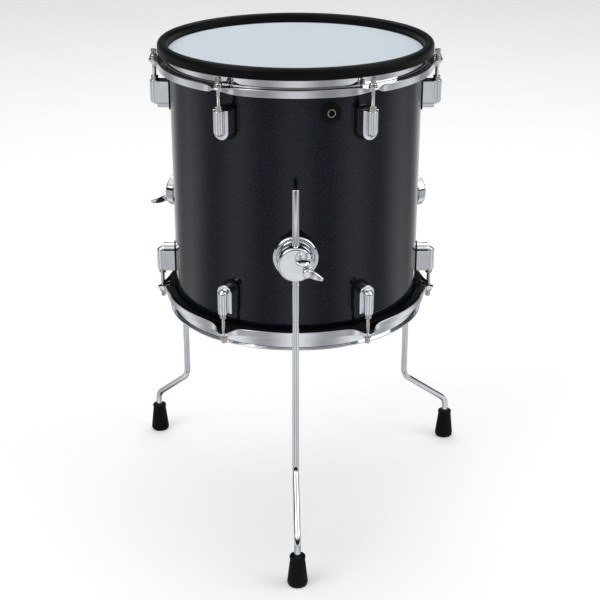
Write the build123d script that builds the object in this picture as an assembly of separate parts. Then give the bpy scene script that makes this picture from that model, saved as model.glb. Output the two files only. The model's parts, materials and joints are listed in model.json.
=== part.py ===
from build123d import *
import os
from math import hypot

# A three-legged electronic floor tom, built about the drum axis and stood on the floor.
# Heights are above the floor. Pieces that repeat round the drum are drawn once, pointing
# along +X, and then turned about the drum axis.

# ---- shell and heads -------------------------------------------------------
SHELL_R = 177.0          # outside radius with the wrap, a 14 inch drum
WRAP_T = 0.5
SHELL_T = 6.0
MID_Z = 501.6            # the lower end mirrors the upper end about this height
HEAD_Z = 690.0           # top face of the mesh head
HEAD_T = 0.8
HEAD_R = 178.9           # outside of the head's collar
COLLAR_LOW_Z = 665.5
EDGE_CHAMFER = 3.5
EDGE_GAP = 0.05          # film to bearing edge
WRAP_INSET = 4.2         # wrap stops this far from the bearing edge
FLESH_OUT_R = 188.0
FLESH_LOW_Z, FLESH_TOP_Z = 663.5, 672.6

# ---- hoops -----------------------------------------------------------------
LUGS = 6
STEEL_T = 2.3
WALL_R = 183.0           # outside of the upright wall
LIP_R = 187.0            # outside of the top lip
SKIRT_R = 192.1
SKIRT_LOW_Z, FLANGE_Z, RIM_Z = 664.6, 675.0, 693.7
EAR_R, EAR_CENTRE_R, EAR_BLEND = 11.0, 195.0, 9.0
EAR_SLOPE = 0.37         # the skirt's lower edge climbs this steeply across an ear
ARCH_R = 13.5            # each ear's skirt is cut away in an arch of this radius
EDGE_ROUND = 1.8

RUBBER_IN_R, RUBBER_OUT_R = 179.4, 192.9
RUBBER_LOW_Z, TOP_Z = 687.4, 703.0
RUBBER_ROUND = 6.4
GROOVE_GAP = 0.1

# ---- lugs and tension rods -------------------------------------------------
ROD_R_POS = 198.5        # radius of the circle of tension rods
ROD_R, ROD_FIT = 2.75, 0.05
ROD_LOW_Z = 628.0
HEAD_FLANGE_R, HEAD_FLANGE_Z = 5.6, 677.55
HEAD_SQUARE, HEAD_LOW_Z, HEAD_TOP_Z = 6.4, 680.0, 688.0
WASHER_R, WASHER_BORE_R, WASHER_TOP_Z = 6.0, 3.1, 677.25
EAR_HOLE_R = 3.6
LUG_LOW_Z, LUG_TOP_Z = 604.0, 644.0
LUG_W, LUG_END_ROUND = 23.0, 11.4
LUG_FACE_R = 195.5       # radius of the flanges' front face
BARREL_R, BARREL_POS, BARREL_LOW_Z = 7.0, 198.7, 608.5
FLUTE_W, FLUTE_D = 1.3, 1.1
GASKET_R = 179.35
GASKET_W, GASKET_LOW_Z, GASKET_TOP_Z = 25.6, 601.4, 645.2
NUT_R, NUT_COLLAR_R, NUT_LOW_Z, NUT_TOP_Z = 4.2, 5.2, 622.0, 650.5
NUT_POCKET_GAP, NUT_POCKET_LOW_Z = 0.1, 619.0
LUG_SCREW_R, LUG_SCREW_GAP = 2.0, 0.1
LUG_SCREW_ZS = (613.0, 635.0)
LUG_SCREW_TIP_R = 189.0
SHELL_HOLE_GAP = 0.5

# ---- leg brackets ----------------------------------------------------------
BRACKET_ANGLES = {"front": -90.0, "right": 30.0, "left": 150.0}
BRACKET_Z = 447.0
BASE_R, BASE_RIM_W, BASE_CREST_R, BASE_FLOOR_R = 30.75, 8.5, 191.0, 184.0
PAD_R, PAD_DISC_R = 178.55, 31.0
SEAT_R, SEAT_FACE_R = 20.0, 202.7
BOSS_R = 6.5
BOLT_Y, BOLT_Z, BOLT_R = 15.0, -9.0, 3.9
BOLT_TIP_R = 187.0
BOLT_FIT = 0.05
CAP_R, CAP_BACK_R, CAP_FACE_R, CAP_ROUND = 24.3, 203.4, 217.2, 3.4
CAP_HOLE_R = 4.3
SCOOP_R, SCOOP_POS, SCOOP_SIDE = 15.0, 227.6, 10.0
PIN_R, PIN_FIT, PIN_Y, PIN_Z, PIN_TIP_R = 2.0, 0.05, -15.0, 8.0, 209.0
HUB_R, HUB_BACK_R, HUB_FACE_R = 6.2, 217.5, 226.5
SLEEVE_R, SLEEVE_FIT = 6.5, 0.05
SLEEVE_HALF, COLLAR_R, COLLAR_T, COLLAR_GAP = 22.0, 8.1, 1.7, 0.3
BASE_SCREW_R, BASE_SCREW_Z, BASE_SCREW_TIP_R = 3.0, 14.0, 191.0
BASE_SCREW_HEAD_R, BASE_SCREW_HEAD_T = 6.5, 4.5

# ---- legs and feet ---------------------------------------------------------
LEG_POS, LEG_R, LEG_FIT = 203.0, 4.75, 0.05
LEG_TOP_Z, LEG_BEND_Z, LEG_KNEE_Z, LEG_END_Z = 548.0, 133.0, 67.0, 12.3
LEG_KICK, LEG_BEND_R, LEG_END_ROUND = 86.4, 24.0, 1.2
LEG_TURN = {"front": 1.7, "right": 0.0, "left": -20.0}
FOOT_H, FOOT_TOP_R, FOOT_LOW_R, FOOT_LIP_R = 46.0, 10.2, 14.5, 11.0
FOOT_BASE_R, FOOT_EDGE_Z, FOOT_LIP_H, FOOT_FLOOR = 13.0, 4.0, 4.0, 12.0

# ---- jack ------------------------------------------------------------------
JACK_ANGLE, JACK_Z = -75.0, 640.8
PLUG_R = 3.25
BUSH_R, BUSH_FACE_R, BUSH_BACK_R = 4.2, 180.3, 166.0
JACK_NUT_R, JACK_NUT_BACK_R, JACK_NUT_FACE_R = 5.6, 178.7, 180.0
JACK_PLATE_R, JACK_PLATE_FACE_R = 14.5, 178.3
JACK_BOX_BACK_R, JACK_BOX_W, PLUG_END_R = 138.0, 18.0, 146.0

# ---- sensors inside --------------------------------------------------------
BRIDGE_ANGLE = -30.0
BRIDGE_HALF, BRIDGE_W, BRIDGE_T, BRIDGE_TOP_Z, BRIDGE_DROP = 170.3, 30.0, 2.0, 656.0, 16.0
BRIDGE_SCREW_Y, BRIDGE_SCREW_R, BRIDGE_SCREW_DROP, BRIDGE_SCREW_TIP_R = 8.0, 1.8, 10.0, 175.5
BRIDGE_SCREW_HEAD_R, BRIDGE_SCREW_HEAD_T = 3.4, 2.4
PLATE_R, PLATE_T = 32.0, 2.0
PIEZO_R, PIEZO_T = 17.5, 1.2
CONE_LOW_R, CONE_TOP_R, CONE_GAP = 17.0, 8.0, 0.1
RIM_SENSOR_POS, RIM_SENSOR_W, RIM_SENSOR_H = 90.0, 24.0, 8.0
WIRE_R = 1.4

STACK = (Align.CENTER, Align.CENTER, Align.MIN)
LUG_ANGLES = [step * 360.0 / LUGS for step in range(LUGS)]

# The origin is the middle of the outline, at floor level. The outline runs from the feet
# to the rubber rim, or to a foot on the other side.
FEET = [(Rot(0, 0, angle) * Pos(LEG_POS, 0, 0) * Rot(0, 0, LEG_TURN[name])
         * Pos(LEG_KICK, 0, 0)).position for name, angle in BRACKET_ANGLES.items()]
X_MID = (max(foot.X for foot in FEET) + min(foot.X for foot in FEET)) / 2
Y_MID = (RUBBER_OUT_R + min(foot.Y for foot in FEET) - FOOT_LOW_R) / 2
CENTRE = Pos(-X_MID, -Y_MID, 0)


def save(name, *solids):
    """Move a finished node's solids to the shared origin and write its STEP file."""
    moved = [CENTRE * solid for solid in solids]
    node = moved[0] if len(moved) == 1 else Compound(children=moved)
    export_step(node, os.path.join("parts", name + ".step"))


def around(part, angles):
    """Copies of a piece drawn along +X, turned to each angle about the drum axis."""
    return [Rot(0, 0, angle) * part for angle in angles]


def turned(points, rounded=(), radius=1.0):
    """Turn an outline of (radius, height) points about the drum axis."""
    outline = make_face(Polyline(*points, close=True))
    corners = [v for v in outline.vertices()
               if any(hypot(v.X - r, v.Y - z) < 0.01 for r, z in rounded)]
    if corners:
        outline = fillet(corners, radius)
    return revolve(Plane.XZ * outline, Axis.Z)


def ring(inner_r, outer_r, low_z, top_z):
    """A plain ring about the drum axis."""
    height = top_z - low_z
    return Pos(0, 0, low_z) * (Cylinder(outer_r, height, align=STACK)
                               - Cylinder(inner_r, height, align=STACK))


def post(radius, low_z, top_z, position=ROD_R_POS):
    """An upright cylinder standing at a radius from the drum axis."""
    return Pos(position, 0, low_z) * Cylinder(radius, top_z - low_z, align=STACK)


def spoke(radius, inner, outer, y, z):
    """A cylinder that points straight out from the drum, between two distances."""
    return Pos(inner, y, z) * Rot(0, 90, 0) * Cylinder(radius, outer - inner, align=STACK)


def slab(inner, outer, width, low_z, top_z, y=0.0):
    """A block between two distances from the drum axis."""
    return Pos((inner + outer) / 2, y, low_z) * Box(outer - inner, width, top_z - low_z,
                                                    align=STACK)


def lower(part):
    """The mirror image of an upper piece, at the lower end of the drum."""
    return mirror(part, about=Plane.XY.offset(MID_Z))


# ---- shell -----------------------------------------------------------------
def drum_shell():
    """The plywood shell, with a bearing edge at each end."""
    inner, outer = SHELL_R - SHELL_T, SHELL_R - WRAP_T
    top = HEAD_Z - HEAD_T - EDGE_GAP
    low = 2 * MID_Z - top
    return turned([(inner, low + EDGE_CHAMFER), (inner + EDGE_CHAMFER, low), (outer, low),
                   (outer, top), (inner + EDGE_CHAMFER, top), (inner, top - EDGE_CHAMFER)])


def shell_holes():
    """Cutters for every hole that passes through the shell and its wrap."""
    inside = SHELL_R - 2 * SHELL_T
    lug_holes = [spoke(LUG_SCREW_R + SHELL_HOLE_GAP, inside, SHELL_R + SHELL_T, 0, z)
                 for high in LUG_SCREW_ZS for z in (high, 2 * MID_Z - high)]
    cutters = [hole for each in lug_holes for hole in around(each, LUG_ANGLES)]
    for side in (-1, 1):
        each = spoke(BASE_SCREW_R + SHELL_HOLE_GAP, inside, SHELL_R + SHELL_T, 0,
                     BRACKET_Z + side * BASE_SCREW_Z)
        cutters += around(each, BRACKET_ANGLES.values())
    jack = spoke(BUSH_R + SHELL_HOLE_GAP, inside, SHELL_R + SHELL_T, 0, JACK_Z)
    return cutters + around(jack, [JACK_ANGLE])


HOLES = shell_holes()
BRIDGE_ENDS = (BRIDGE_ANGLE, BRIDGE_ANGLE + 180.0)
BRIDGE_HOLES = [hole for side in (-1, 1) for hole in around(
    spoke(BRIDGE_SCREW_R + LUG_SCREW_GAP, BRIDGE_HALF - BRIDGE_T, BRIDGE_SCREW_TIP_R + LUG_SCREW_GAP,
          side * BRIDGE_SCREW_Y, BRIDGE_TOP_Z - BRIDGE_SCREW_DROP), BRIDGE_ENDS)]
TOP_EDGE_Z = HEAD_Z - HEAD_T - EDGE_GAP
WRAP = ring(SHELL_R - WRAP_T, SHELL_R, 2 * MID_Z - TOP_EDGE_Z + WRAP_INSET, TOP_EDGE_Z - WRAP_INSET)
save("shell", drum_shell() - HOLES - BRIDGE_HOLES)
save("shell_wrap", WRAP - HOLES)


# ---- heads -----------------------------------------------------------------
def head():
    """A head's film, stretched flat and folded down outside the shell."""
    inner, low_face = HEAD_R - HEAD_T, HEAD_Z - HEAD_T
    return turned([(0, HEAD_Z), (HEAD_R - 1.9, HEAD_Z), (HEAD_R, HEAD_Z - 1.8),
                   (HEAD_R, COLLAR_LOW_Z), (inner, COLLAR_LOW_Z), (inner, low_face - 1.3),
                   (inner - 1.4, low_face), (0, low_face)])


FLESH = ring(HEAD_R + EDGE_GAP, FLESH_OUT_R, FLESH_LOW_Z, FLESH_TOP_Z)
FLESH = fillet(FLESH.edges().filter_by(GeomType.CIRCLE), 1.2)
save("mesh_head", head())
save("bottom_head", lower(head()))
save("top_flesh_hoop", FLESH)
save("bottom_flesh_hoop", lower(FLESH))


# ---- hoops -----------------------------------------------------------------
def eared_disc(inset, height):
    """A disc as wide as the skirt, with a rounded ear at each rod, shrunk by an inset."""
    radius = SKIRT_R - inset
    outline = Circle(radius) + [place * Circle(EAR_R - inset)
                                for place in PolarLocations(EAR_CENTRE_R, LUGS)]
    waist = [v for v in outline.vertices() if abs(hypot(v.X, v.Y) - radius) < 0.01]
    return Pos(0, 0, SKIRT_LOW_Z) * extrude(fillet(waist, EAR_BLEND + inset), height)


def steel_hoop():
    """A pressed steel hoop: lip, upright wall, flange and skirt, with an ear at each rod."""
    depth = FLANGE_Z - SKIRT_LOW_Z
    press = eared_disc(0, depth)
    press = fillet(press.edges().group_by(Axis.Z)[-1], EDGE_ROUND)
    press -= eared_disc(STEEL_T, depth - STEEL_T)
    press -= Pos(0, 0, SKIRT_LOW_Z) * Cylinder(WALL_R - STEEL_T, depth, align=STACK)
    reach = EAR_CENTRE_R + 2 * EAR_R
    slope_top = SKIRT_LOW_Z + EAR_SLOPE * (reach - SKIRT_R)
    press -= turned([(SKIRT_R + 0.1, SKIRT_LOW_Z - 1), (reach, SKIRT_LOW_Z - 1),
                     (reach, slope_top), (SKIRT_R + 0.1, SKIRT_LOW_Z)])
    arch = spoke(ARCH_R, SKIRT_R - 3 * STEEL_T, reach, 0, FLANGE_Z - STEEL_T - ARCH_R)
    press -= around(arch, LUG_ANGLES)
    wall = turned([(WALL_R - STEEL_T, FLANGE_Z - STEEL_T), (WALL_R, FLANGE_Z - STEEL_T),
                   (WALL_R, RIM_Z - STEEL_T), (LIP_R, RIM_Z - STEEL_T), (LIP_R, RIM_Z),
                   (WALL_R - STEEL_T, RIM_Z)], rounded=[(WALL_R - STEEL_T, RIM_Z)], radius=2.0)
    return press + wall - around(post(EAR_HOLE_R, SKIRT_LOW_Z, RIM_Z), LUG_ANGLES)


def rubber_cover():
    """The rubber cover: a thick ring, grooved below to grip the steel lip."""
    inner_groove = WALL_R - STEEL_T - GROOVE_GAP
    return turned([(RUBBER_IN_R, TOP_Z), (RUBBER_OUT_R, TOP_Z), (RUBBER_OUT_R, RUBBER_LOW_Z),
                   (WALL_R + GROOVE_GAP, RUBBER_LOW_Z),
                   (WALL_R + GROOVE_GAP, RIM_Z - STEEL_T - GROOVE_GAP),
                   (LIP_R + GROOVE_GAP, RIM_Z - STEEL_T - GROOVE_GAP),
                   (LIP_R + GROOVE_GAP, RIM_Z + GROOVE_GAP), (inner_groove, RIM_Z + GROOVE_GAP),
                   (inner_groove, HEAD_Z - 1.5), (RUBBER_IN_R, HEAD_Z - 1.5)],
                  rounded=[(RUBBER_IN_R, TOP_Z), (RUBBER_OUT_R, TOP_Z)], radius=RUBBER_ROUND)


HOOP = steel_hoop()
save("top_hoop", HOOP)
save("bottom_hoop", lower(HOOP))
save("hoop_rubber", rubber_cover())


# ---- lugs ------------------------------------------------------------------
def lug():
    """A die-cast lug: a body with a round end, and a barrel that holds the swivel nut."""
    height = LUG_TOP_Z - LUG_LOW_Z
    front = Rectangle(LUG_W, height)
    front = fillet(front.vertices().group_by(Axis.Y)[0], LUG_END_ROUND)
    body = Plane.YZ * extrude(Pos(0, LUG_LOW_Z + height / 2) * front, LUG_FACE_R)
    edges = [e for e in body.edges().group_by(Axis.X)[-1] if e.center().Z < LUG_TOP_Z - 0.1]
    body = fillet(edges, EDGE_ROUND)
    body -= Cylinder(GASKET_R + 0.05, 3 * MID_Z, align=STACK)
    barrel = post(BARREL_R, BARREL_LOW_Z, LUG_TOP_Z, BARREL_POS)
    barrel = fillet(barrel.edges().group_by(Axis.Z)[0], 0.7 * BARREL_R)
    web = slab(LUG_FACE_R - 4, BARREL_POS, 2 * BARREL_R, BARREL_LOW_Z + 0.7 * BARREL_R, LUG_TOP_Z)
    body += [barrel, web]
    for side in (-1, 1):
        body -= slab(LUG_FACE_R - FLUTE_D, LUG_FACE_R + 1, FLUTE_W, BARREL_LOW_Z, LUG_TOP_Z,
                     side * (BARREL_R + FLUTE_W / 2))
    body -= post(NUT_R + NUT_POCKET_GAP, NUT_POCKET_LOW_Z, LUG_TOP_Z)
    for z in LUG_SCREW_ZS:
        body -= spoke(LUG_SCREW_R + LUG_SCREW_GAP, SHELL_R, LUG_SCREW_TIP_R + 1, 0, z)
    return body


def lug_gasket():
    """A thin pad, curved to the shell, that shows as a dark line round a lug."""
    height = GASKET_TOP_Z - GASKET_LOW_Z
    front = Rectangle(GASKET_W, height)
    front = fillet(front.vertices().group_by(Axis.Y)[0], LUG_END_ROUND)
    front = fillet(front.vertices().group_by(Axis.Y)[-1], 2.0)
    pad = Plane.YZ * extrude(Pos(0, GASKET_LOW_Z + height / 2) * front, 2 * SHELL_R)
    pad &= ring(SHELL_R + 0.05, GASKET_R, GASKET_LOW_Z, GASKET_TOP_Z)
    for z in LUG_SCREW_ZS:
        pad -= spoke(LUG_SCREW_R + SHELL_HOLE_GAP, SHELL_R - 1, GASKET_R + 1, 0, z)
    return pad


def swivel_nut():
    """The nut in a lug, with the collar that shows above it."""
    nut = post(NUT_R, NUT_LOW_Z, NUT_TOP_Z) + post(NUT_COLLAR_R, LUG_TOP_Z, NUT_TOP_Z)
    nut = chamfer(nut.edges().group_by(Axis.Z)[-1], 0.8)
    return nut - post(ROD_R + ROD_FIT, NUT_LOW_Z, NUT_TOP_Z)


def tension_rod():
    """A tension rod: square key head, flange and plain shank."""
    head_end = Pos(ROD_R_POS, 0, HEAD_LOW_Z) * Box(HEAD_SQUARE, HEAD_SQUARE,
                                                   HEAD_TOP_Z - HEAD_LOW_Z, align=STACK)
    head_end = chamfer(head_end.edges().group_by(Axis.Z)[-1], 0.9)
    shank = post(ROD_R, ROD_LOW_Z, HEAD_FLANGE_Z)
    shank = chamfer(shank.edges().group_by(Axis.Z)[0], 0.8)
    return head_end + post(HEAD_FLANGE_R, HEAD_FLANGE_Z, HEAD_LOW_Z) + shank


def lug_screw(z):
    """A screw put in from inside the shell, with its broad head."""
    head_back = SHELL_R - SHELL_T - 0.15
    return (spoke(LUG_SCREW_R, head_back - 1, LUG_SCREW_TIP_R, 0, z)
            + spoke(2.2 * LUG_SCREW_R, head_back - 2.6, head_back, 0, z))


LUG, GASKET, NUT, ROD = lug(), lug_gasket(), swivel_nut(), tension_rod()
WASHER = post(WASHER_R, FLANGE_Z, WASHER_TOP_Z) - post(WASHER_BORE_R, FLANGE_Z, WASHER_TOP_Z)
SCREWS = [lug_screw(z) for high in LUG_SCREW_ZS for z in (high, 2 * MID_Z - high)]
save("top_lugs", *around(LUG, LUG_ANGLES))
save("bottom_lugs", *around(lower(LUG), LUG_ANGLES))
save("lug_gaskets", *around(GASKET, LUG_ANGLES), *around(lower(GASKET), LUG_ANGLES))
save("swivel_nuts", *around(NUT, LUG_ANGLES), *around(lower(NUT), LUG_ANGLES))
save("rod_washers", *around(WASHER, LUG_ANGLES), *around(lower(WASHER), LUG_ANGLES))
save("lug_screws", *(s for each in SCREWS for s in around(each, LUG_ANGLES)))
for number, angle in enumerate(LUG_ANGLES, start=1):
    save(f"top_rod_{number}", Rot(0, 0, angle) * ROD)
    save(f"bottom_rod_{number}", Rot(0, 0, angle) * lower(ROD))


# ---- leg brackets ----------------------------------------------------------
def bracket_base():
    """The cast base: a round dish on the shell, with the inner half of the leg clamp."""
    dish = spoke(BASE_R, SHELL_R - 10, BASE_CREST_R, 0, BRACKET_Z)
    dish -= spoke(BASE_R - BASE_RIM_W, BASE_FLOOR_R, BASE_CREST_R, 0, BRACKET_Z)
    dish = fillet(dish.edges().group_by(Axis.X)[-1], BASE_RIM_W / 2 - 0.05)
    base = dish + [spoke(SEAT_R, BASE_FLOOR_R - 1, SEAT_FACE_R, 0, BRACKET_Z),
                   spoke(BOSS_R, BASE_FLOOR_R - 1, SEAT_FACE_R, BOLT_Y, BRACKET_Z + BOLT_Z)]
    base -= Cylinder(PAD_R + 0.05, 3 * MID_Z, align=STACK)
    base -= post(SLEEVE_R + SLEEVE_FIT, BRACKET_Z - BASE_R, BRACKET_Z + BASE_R, LEG_POS)
    base -= spoke(BOLT_R + BOLT_FIT, BOLT_TIP_R - 1, SEAT_FACE_R, BOLT_Y, BRACKET_Z + BOLT_Z)
    for side in (-1, 1):
        base += spoke(PIN_R, SEAT_FACE_R - 3, PIN_TIP_R, PIN_Y, BRACKET_Z + side * PIN_Z)
        base -= spoke(BASE_SCREW_R + LUG_SCREW_GAP, SHELL_R, BASE_SCREW_TIP_R + 1, 0,
                      BRACKET_Z + side * BASE_SCREW_Z)
    return base


def bracket_pad():
    """The thin pad between a bracket base and the shell."""
    pad = spoke(PAD_DISC_R, SHELL_R - 10, SHELL_R + 10, 0, BRACKET_Z)
    pad &= ring(SHELL_R + 0.05, PAD_R, BRACKET_Z - 2 * BASE_R, BRACKET_Z + 2 * BASE_R)
    for side in (-1, 1):
        pad -= spoke(BASE_SCREW_R + SHELL_HOLE_GAP, SHELL_R - 1, PAD_R + 1, 0,
                     BRACKET_Z + side * BASE_SCREW_Z)
    return pad


def bracket_cap():
    """The round cap, the outer half of the leg clamp, with a scoop beside the wing bolt."""
    cap = spoke(CAP_R, CAP_BACK_R, CAP_FACE_R, 0, BRACKET_Z)
    cap = fillet(cap.edges().group_by(Axis.X)[-1], CAP_ROUND)
    cap -= Pos(SCOOP_POS, SCOOP_SIDE, BRACKET_Z + SCOOP_SIDE) * Sphere(SCOOP_R)
    cap -= post(SLEEVE_R + 2 * SLEEVE_FIT, BRACKET_Z - CAP_R, BRACKET_Z + CAP_R, LEG_POS)
    collar_z = SLEEVE_HALF - COLLAR_T - COLLAR_GAP
    for low_z in (-CAP_R - 1, collar_z):
        cap -= post(COLLAR_R + COLLAR_GAP, BRACKET_Z + low_z,
                    BRACKET_Z + low_z + CAP_R + 1 - collar_z, LEG_POS)
    cap -= spoke(CAP_HOLE_R, CAP_BACK_R, CAP_FACE_R, BOLT_Y, BRACKET_Z + BOLT_Z)
    for side in (-1, 1):
        cap -= spoke(PIN_R + PIN_FIT, CAP_BACK_R, PIN_TIP_R + COLLAR_GAP, PIN_Y,
                     BRACKET_Z + side * PIN_Z)
    return cap


def wing_bolt():
    """The wing bolt: a shank, a hub and one lever that curves down and outward."""
    bolt = spoke(BOLT_R, BOLT_TIP_R, HUB_BACK_R + 1, BOLT_Y, BRACKET_Z + BOLT_Z)
    hub = spoke(HUB_R, HUB_BACK_R, HUB_FACE_R, BOLT_Y, BRACKET_Z + BOLT_Z)
    hub = fillet(hub.edges().group_by(Axis.X)[-1], 2.0)
    root = Vector(HUB_BACK_R + 4.2, BOLT_Y + 1.0, BRACKET_Z + BOLT_Z)
    bend = Vector(HUB_BACK_R + 9.0, BOLT_Y + 11.0, BRACKET_Z + BOLT_Z - 3.4)
    tip = Vector(HUB_BACK_R + 17.8, BOLT_Y + 19.8, BRACKET_Z + BOLT_Z - 6.6)
    stations = [(root, 0.25, RectangleRounded(7.0, 9.0, 2.8)),
                (bend, 0.7, RectangleRounded(4.6, 10.0, 2.2)),
                (tip, 1.1, RectangleRounded(2.8, 6.4, 1.3))]
    sections = [Plane(origin=centre, z_dir=(lean, 1, -0.34), x_dir=(1, -lean, 0)) * outline
                for centre, lean, outline in stations]
    return bolt + hub + loft(sections)


def sleeve():
    """The split nylon sleeve that grips a leg, collared so that it stays in the clamp."""
    tube = post(SLEEVE_R, BRACKET_Z - SLEEVE_HALF, BRACKET_Z + SLEEVE_HALF, LEG_POS)
    for low_z in (-SLEEVE_HALF, SLEEVE_HALF - COLLAR_T):
        tube += post(COLLAR_R, BRACKET_Z + low_z, BRACKET_Z + low_z + COLLAR_T, LEG_POS)
    return tube - post(LEG_R + LEG_FIT, BRACKET_Z - BASE_R, BRACKET_Z + BASE_R, LEG_POS)


def base_screw(side):
    """A bracket screw, put in from inside the shell."""
    back = SHELL_R - SHELL_T - 0.2
    z = BRACKET_Z + side * BASE_SCREW_Z
    return (spoke(BASE_SCREW_R, back - 1, BASE_SCREW_TIP_R, 0, z)
            + spoke(BASE_SCREW_HEAD_R, back - BASE_SCREW_HEAD_T, back, 0, z))


def leg(turn):
    """A bent leg rod: upright, kicked out to one side, and upright again in the foot."""
    points = [(0, 0, LEG_TOP_Z), (0, 0, LEG_BEND_Z), (LEG_KICK, 0, LEG_KNEE_Z),
              (LEG_KICK, 0, LEG_END_Z)]
    path = FilletPolyline(*points, radius=LEG_BEND_R)
    rod = sweep(Pos(0, 0, LEG_TOP_Z) * Circle(LEG_R), path=path)
    rod = fillet(rod.edges().group_by(Axis.Z)[-1], LEG_END_ROUND)
    return Pos(LEG_POS, 0, 0) * Rot(0, 0, turn) * rod


def foot(turn):
    """A tapered rubber foot with a lip round the mouth of its bore."""
    lip_z = FOOT_H - FOOT_LIP_H
    tip = turned([(0, 0), (FOOT_BASE_R, 0), (FOOT_LOW_R, FOOT_EDGE_Z), (FOOT_TOP_R, lip_z),
                  (FOOT_LIP_R, lip_z + 0.6), (FOOT_LIP_R, FOOT_H), (LEG_R + LEG_FIT, FOOT_H),
                  (LEG_R + LEG_FIT, FOOT_FLOOR), (0, FOOT_FLOOR)],
                 rounded=[(FOOT_BASE_R, 0), (FOOT_LOW_R, FOOT_EDGE_Z)], radius=1.0)
    return Pos(LEG_POS, 0, 0) * Rot(0, 0, turn) * Pos(LEG_KICK, 0, 0) * tip


BASE, CAP, WING, SLEEVE = bracket_base(), bracket_cap(), wing_bolt(), sleeve()
for name, angle in BRACKET_ANGLES.items():
    place = Rot(0, 0, angle)
    save(f"bracket_base_{name}", place * BASE)
    save(f"bracket_cap_{name}", place * CAP)
    save(f"wing_bolt_{name}", place * WING)
    save(f"leg_sleeve_{name}", place * SLEEVE)
    save(f"leg_{name}", place * leg(LEG_TURN[name]))
    save(f"foot_{name}", place * foot(LEG_TURN[name]))
save("bracket_pads", *around(bracket_pad(), BRACKET_ANGLES.values()))
save("bracket_screws", *(s for side in (-1, 1)
                         for s in around(base_screw(side), BRACKET_ANGLES.values())))


# ---- jack ------------------------------------------------------------------
def jack_socket():
    """The socket: a threaded bush through the shell and a housing behind it."""
    housing = Pos(JACK_BOX_BACK_R, 0, JACK_Z) * Box(
        BUSH_BACK_R - JACK_BOX_BACK_R, JACK_BOX_W, JACK_BOX_W,
        align=(Align.MIN, Align.CENTER, Align.CENTER))
    housing = fillet(housing.edges().filter_by(Axis.X), 2.0)
    socket = housing + spoke(BUSH_R, BUSH_BACK_R - 1, BUSH_FACE_R, 0, JACK_Z)
    return socket - spoke(PLUG_R, PLUG_END_R, BUSH_FACE_R, 0, JACK_Z)


def jack_plate():
    """The round plate behind the socket's nut, curved to the shell."""
    plate = spoke(JACK_PLATE_R, SHELL_R - 10, SHELL_R + 10, 0, JACK_Z)
    plate &= ring(SHELL_R + 0.05, JACK_PLATE_FACE_R, JACK_Z - 20, JACK_Z + 20)
    return plate - spoke(BUSH_R + SHELL_HOLE_GAP, SHELL_R - 1, SHELL_R + 5, 0, JACK_Z)


JACK_NUT = spoke(JACK_NUT_R, JACK_NUT_BACK_R, JACK_NUT_FACE_R, 0, JACK_Z)
JACK_NUT = fillet(JACK_NUT.edges().group_by(Axis.X)[-1], 0.5)
JACK_NUT -= spoke(BUSH_R + 0.05, JACK_NUT_BACK_R, JACK_NUT_FACE_R, 0, JACK_Z)
save("jack_socket", Rot(0, 0, JACK_ANGLE) * jack_socket())
save("jack_plate", Rot(0, 0, JACK_ANGLE) * jack_plate())
save("jack_nut", Rot(0, 0, JACK_ANGLE) * JACK_NUT)


# ---- sensors ---------------------------------------------------------------
def bridge():
    """The steel strip that crosses the shell below the head, bent down at each end."""
    low = BRIDGE_TOP_Z - BRIDGE_DROP
    strip = slab(-BRIDGE_HALF, BRIDGE_HALF, BRIDGE_W, BRIDGE_TOP_Z - BRIDGE_T, BRIDGE_TOP_Z)
    for end in (-BRIDGE_HALF, BRIDGE_HALF - BRIDGE_T):
        strip += slab(end, end + BRIDGE_T, BRIDGE_W, low, BRIDGE_TOP_Z)
    for side in (-1, 1):
        strip -= spoke(BRIDGE_SCREW_R + LUG_SCREW_GAP, -SHELL_R, SHELL_R,
                       side * BRIDGE_SCREW_Y, BRIDGE_TOP_Z - BRIDGE_SCREW_DROP)
    return strip


def bridge_screw(side):
    """A short screw that holds one end of the bridge to the shell."""
    z, y = BRIDGE_TOP_Z - BRIDGE_SCREW_DROP, side * BRIDGE_SCREW_Y
    seat = BRIDGE_HALF - BRIDGE_T
    return (spoke(BRIDGE_SCREW_R, seat - 1, BRIDGE_SCREW_TIP_R, y, z)
            + spoke(BRIDGE_SCREW_HEAD_R, seat - BRIDGE_SCREW_HEAD_T, seat, y, z))


def wire(start, end, sag):
    """One signal wire, drooping between its two ends."""
    middle = (start + end) / 2 - Vector(0, 0, sag)
    path = Spline(start, middle, end)
    return sweep(Plane(origin=start, z_dir=path % 0) * Circle(WIRE_R), path=path)


PIEZO_Z = BRIDGE_TOP_Z + PLATE_T + 0.1
CONE_Z = PIEZO_Z + PIEZO_T + 0.1
CONE_H = HEAD_Z - HEAD_T - CONE_GAP - CONE_Z
AIM = Rot(0, 0, BRIDGE_ANGLE)
REAR = Rot(0, 0, JACK_ANGLE)
save("sensor_bridge", AIM * bridge())
save("bridge_screws", *(s for side in (-1, 1) for s in around(bridge_screw(side), BRIDGE_ENDS)))
save("sensor_plate", Pos(0, 0, BRIDGE_TOP_Z + 0.05) * Cylinder(PLATE_R, PLATE_T, align=STACK))
save("head_sensor", Pos(0, 0, PIEZO_Z) * Cylinder(PIEZO_R, PIEZO_T, align=STACK))
save("foam_cone", Pos(0, 0, CONE_Z) * Cone(CONE_LOW_R, CONE_TOP_R, CONE_H, align=STACK))
RIM_SENSOR = slab(RIM_SENSOR_POS - RIM_SENSOR_W / 2, RIM_SENSOR_POS + RIM_SENSOR_W / 2,
                  RIM_SENSOR_W, BRIDGE_TOP_Z + 0.05, BRIDGE_TOP_Z + RIM_SENSOR_H)
save("rim_sensor", AIM * fillet(RIM_SENSOR.edges().filter_by(Axis.Z), 3.0))
JACK_BACK = JACK_BOX_BACK_R - 2 * WIRE_R
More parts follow.
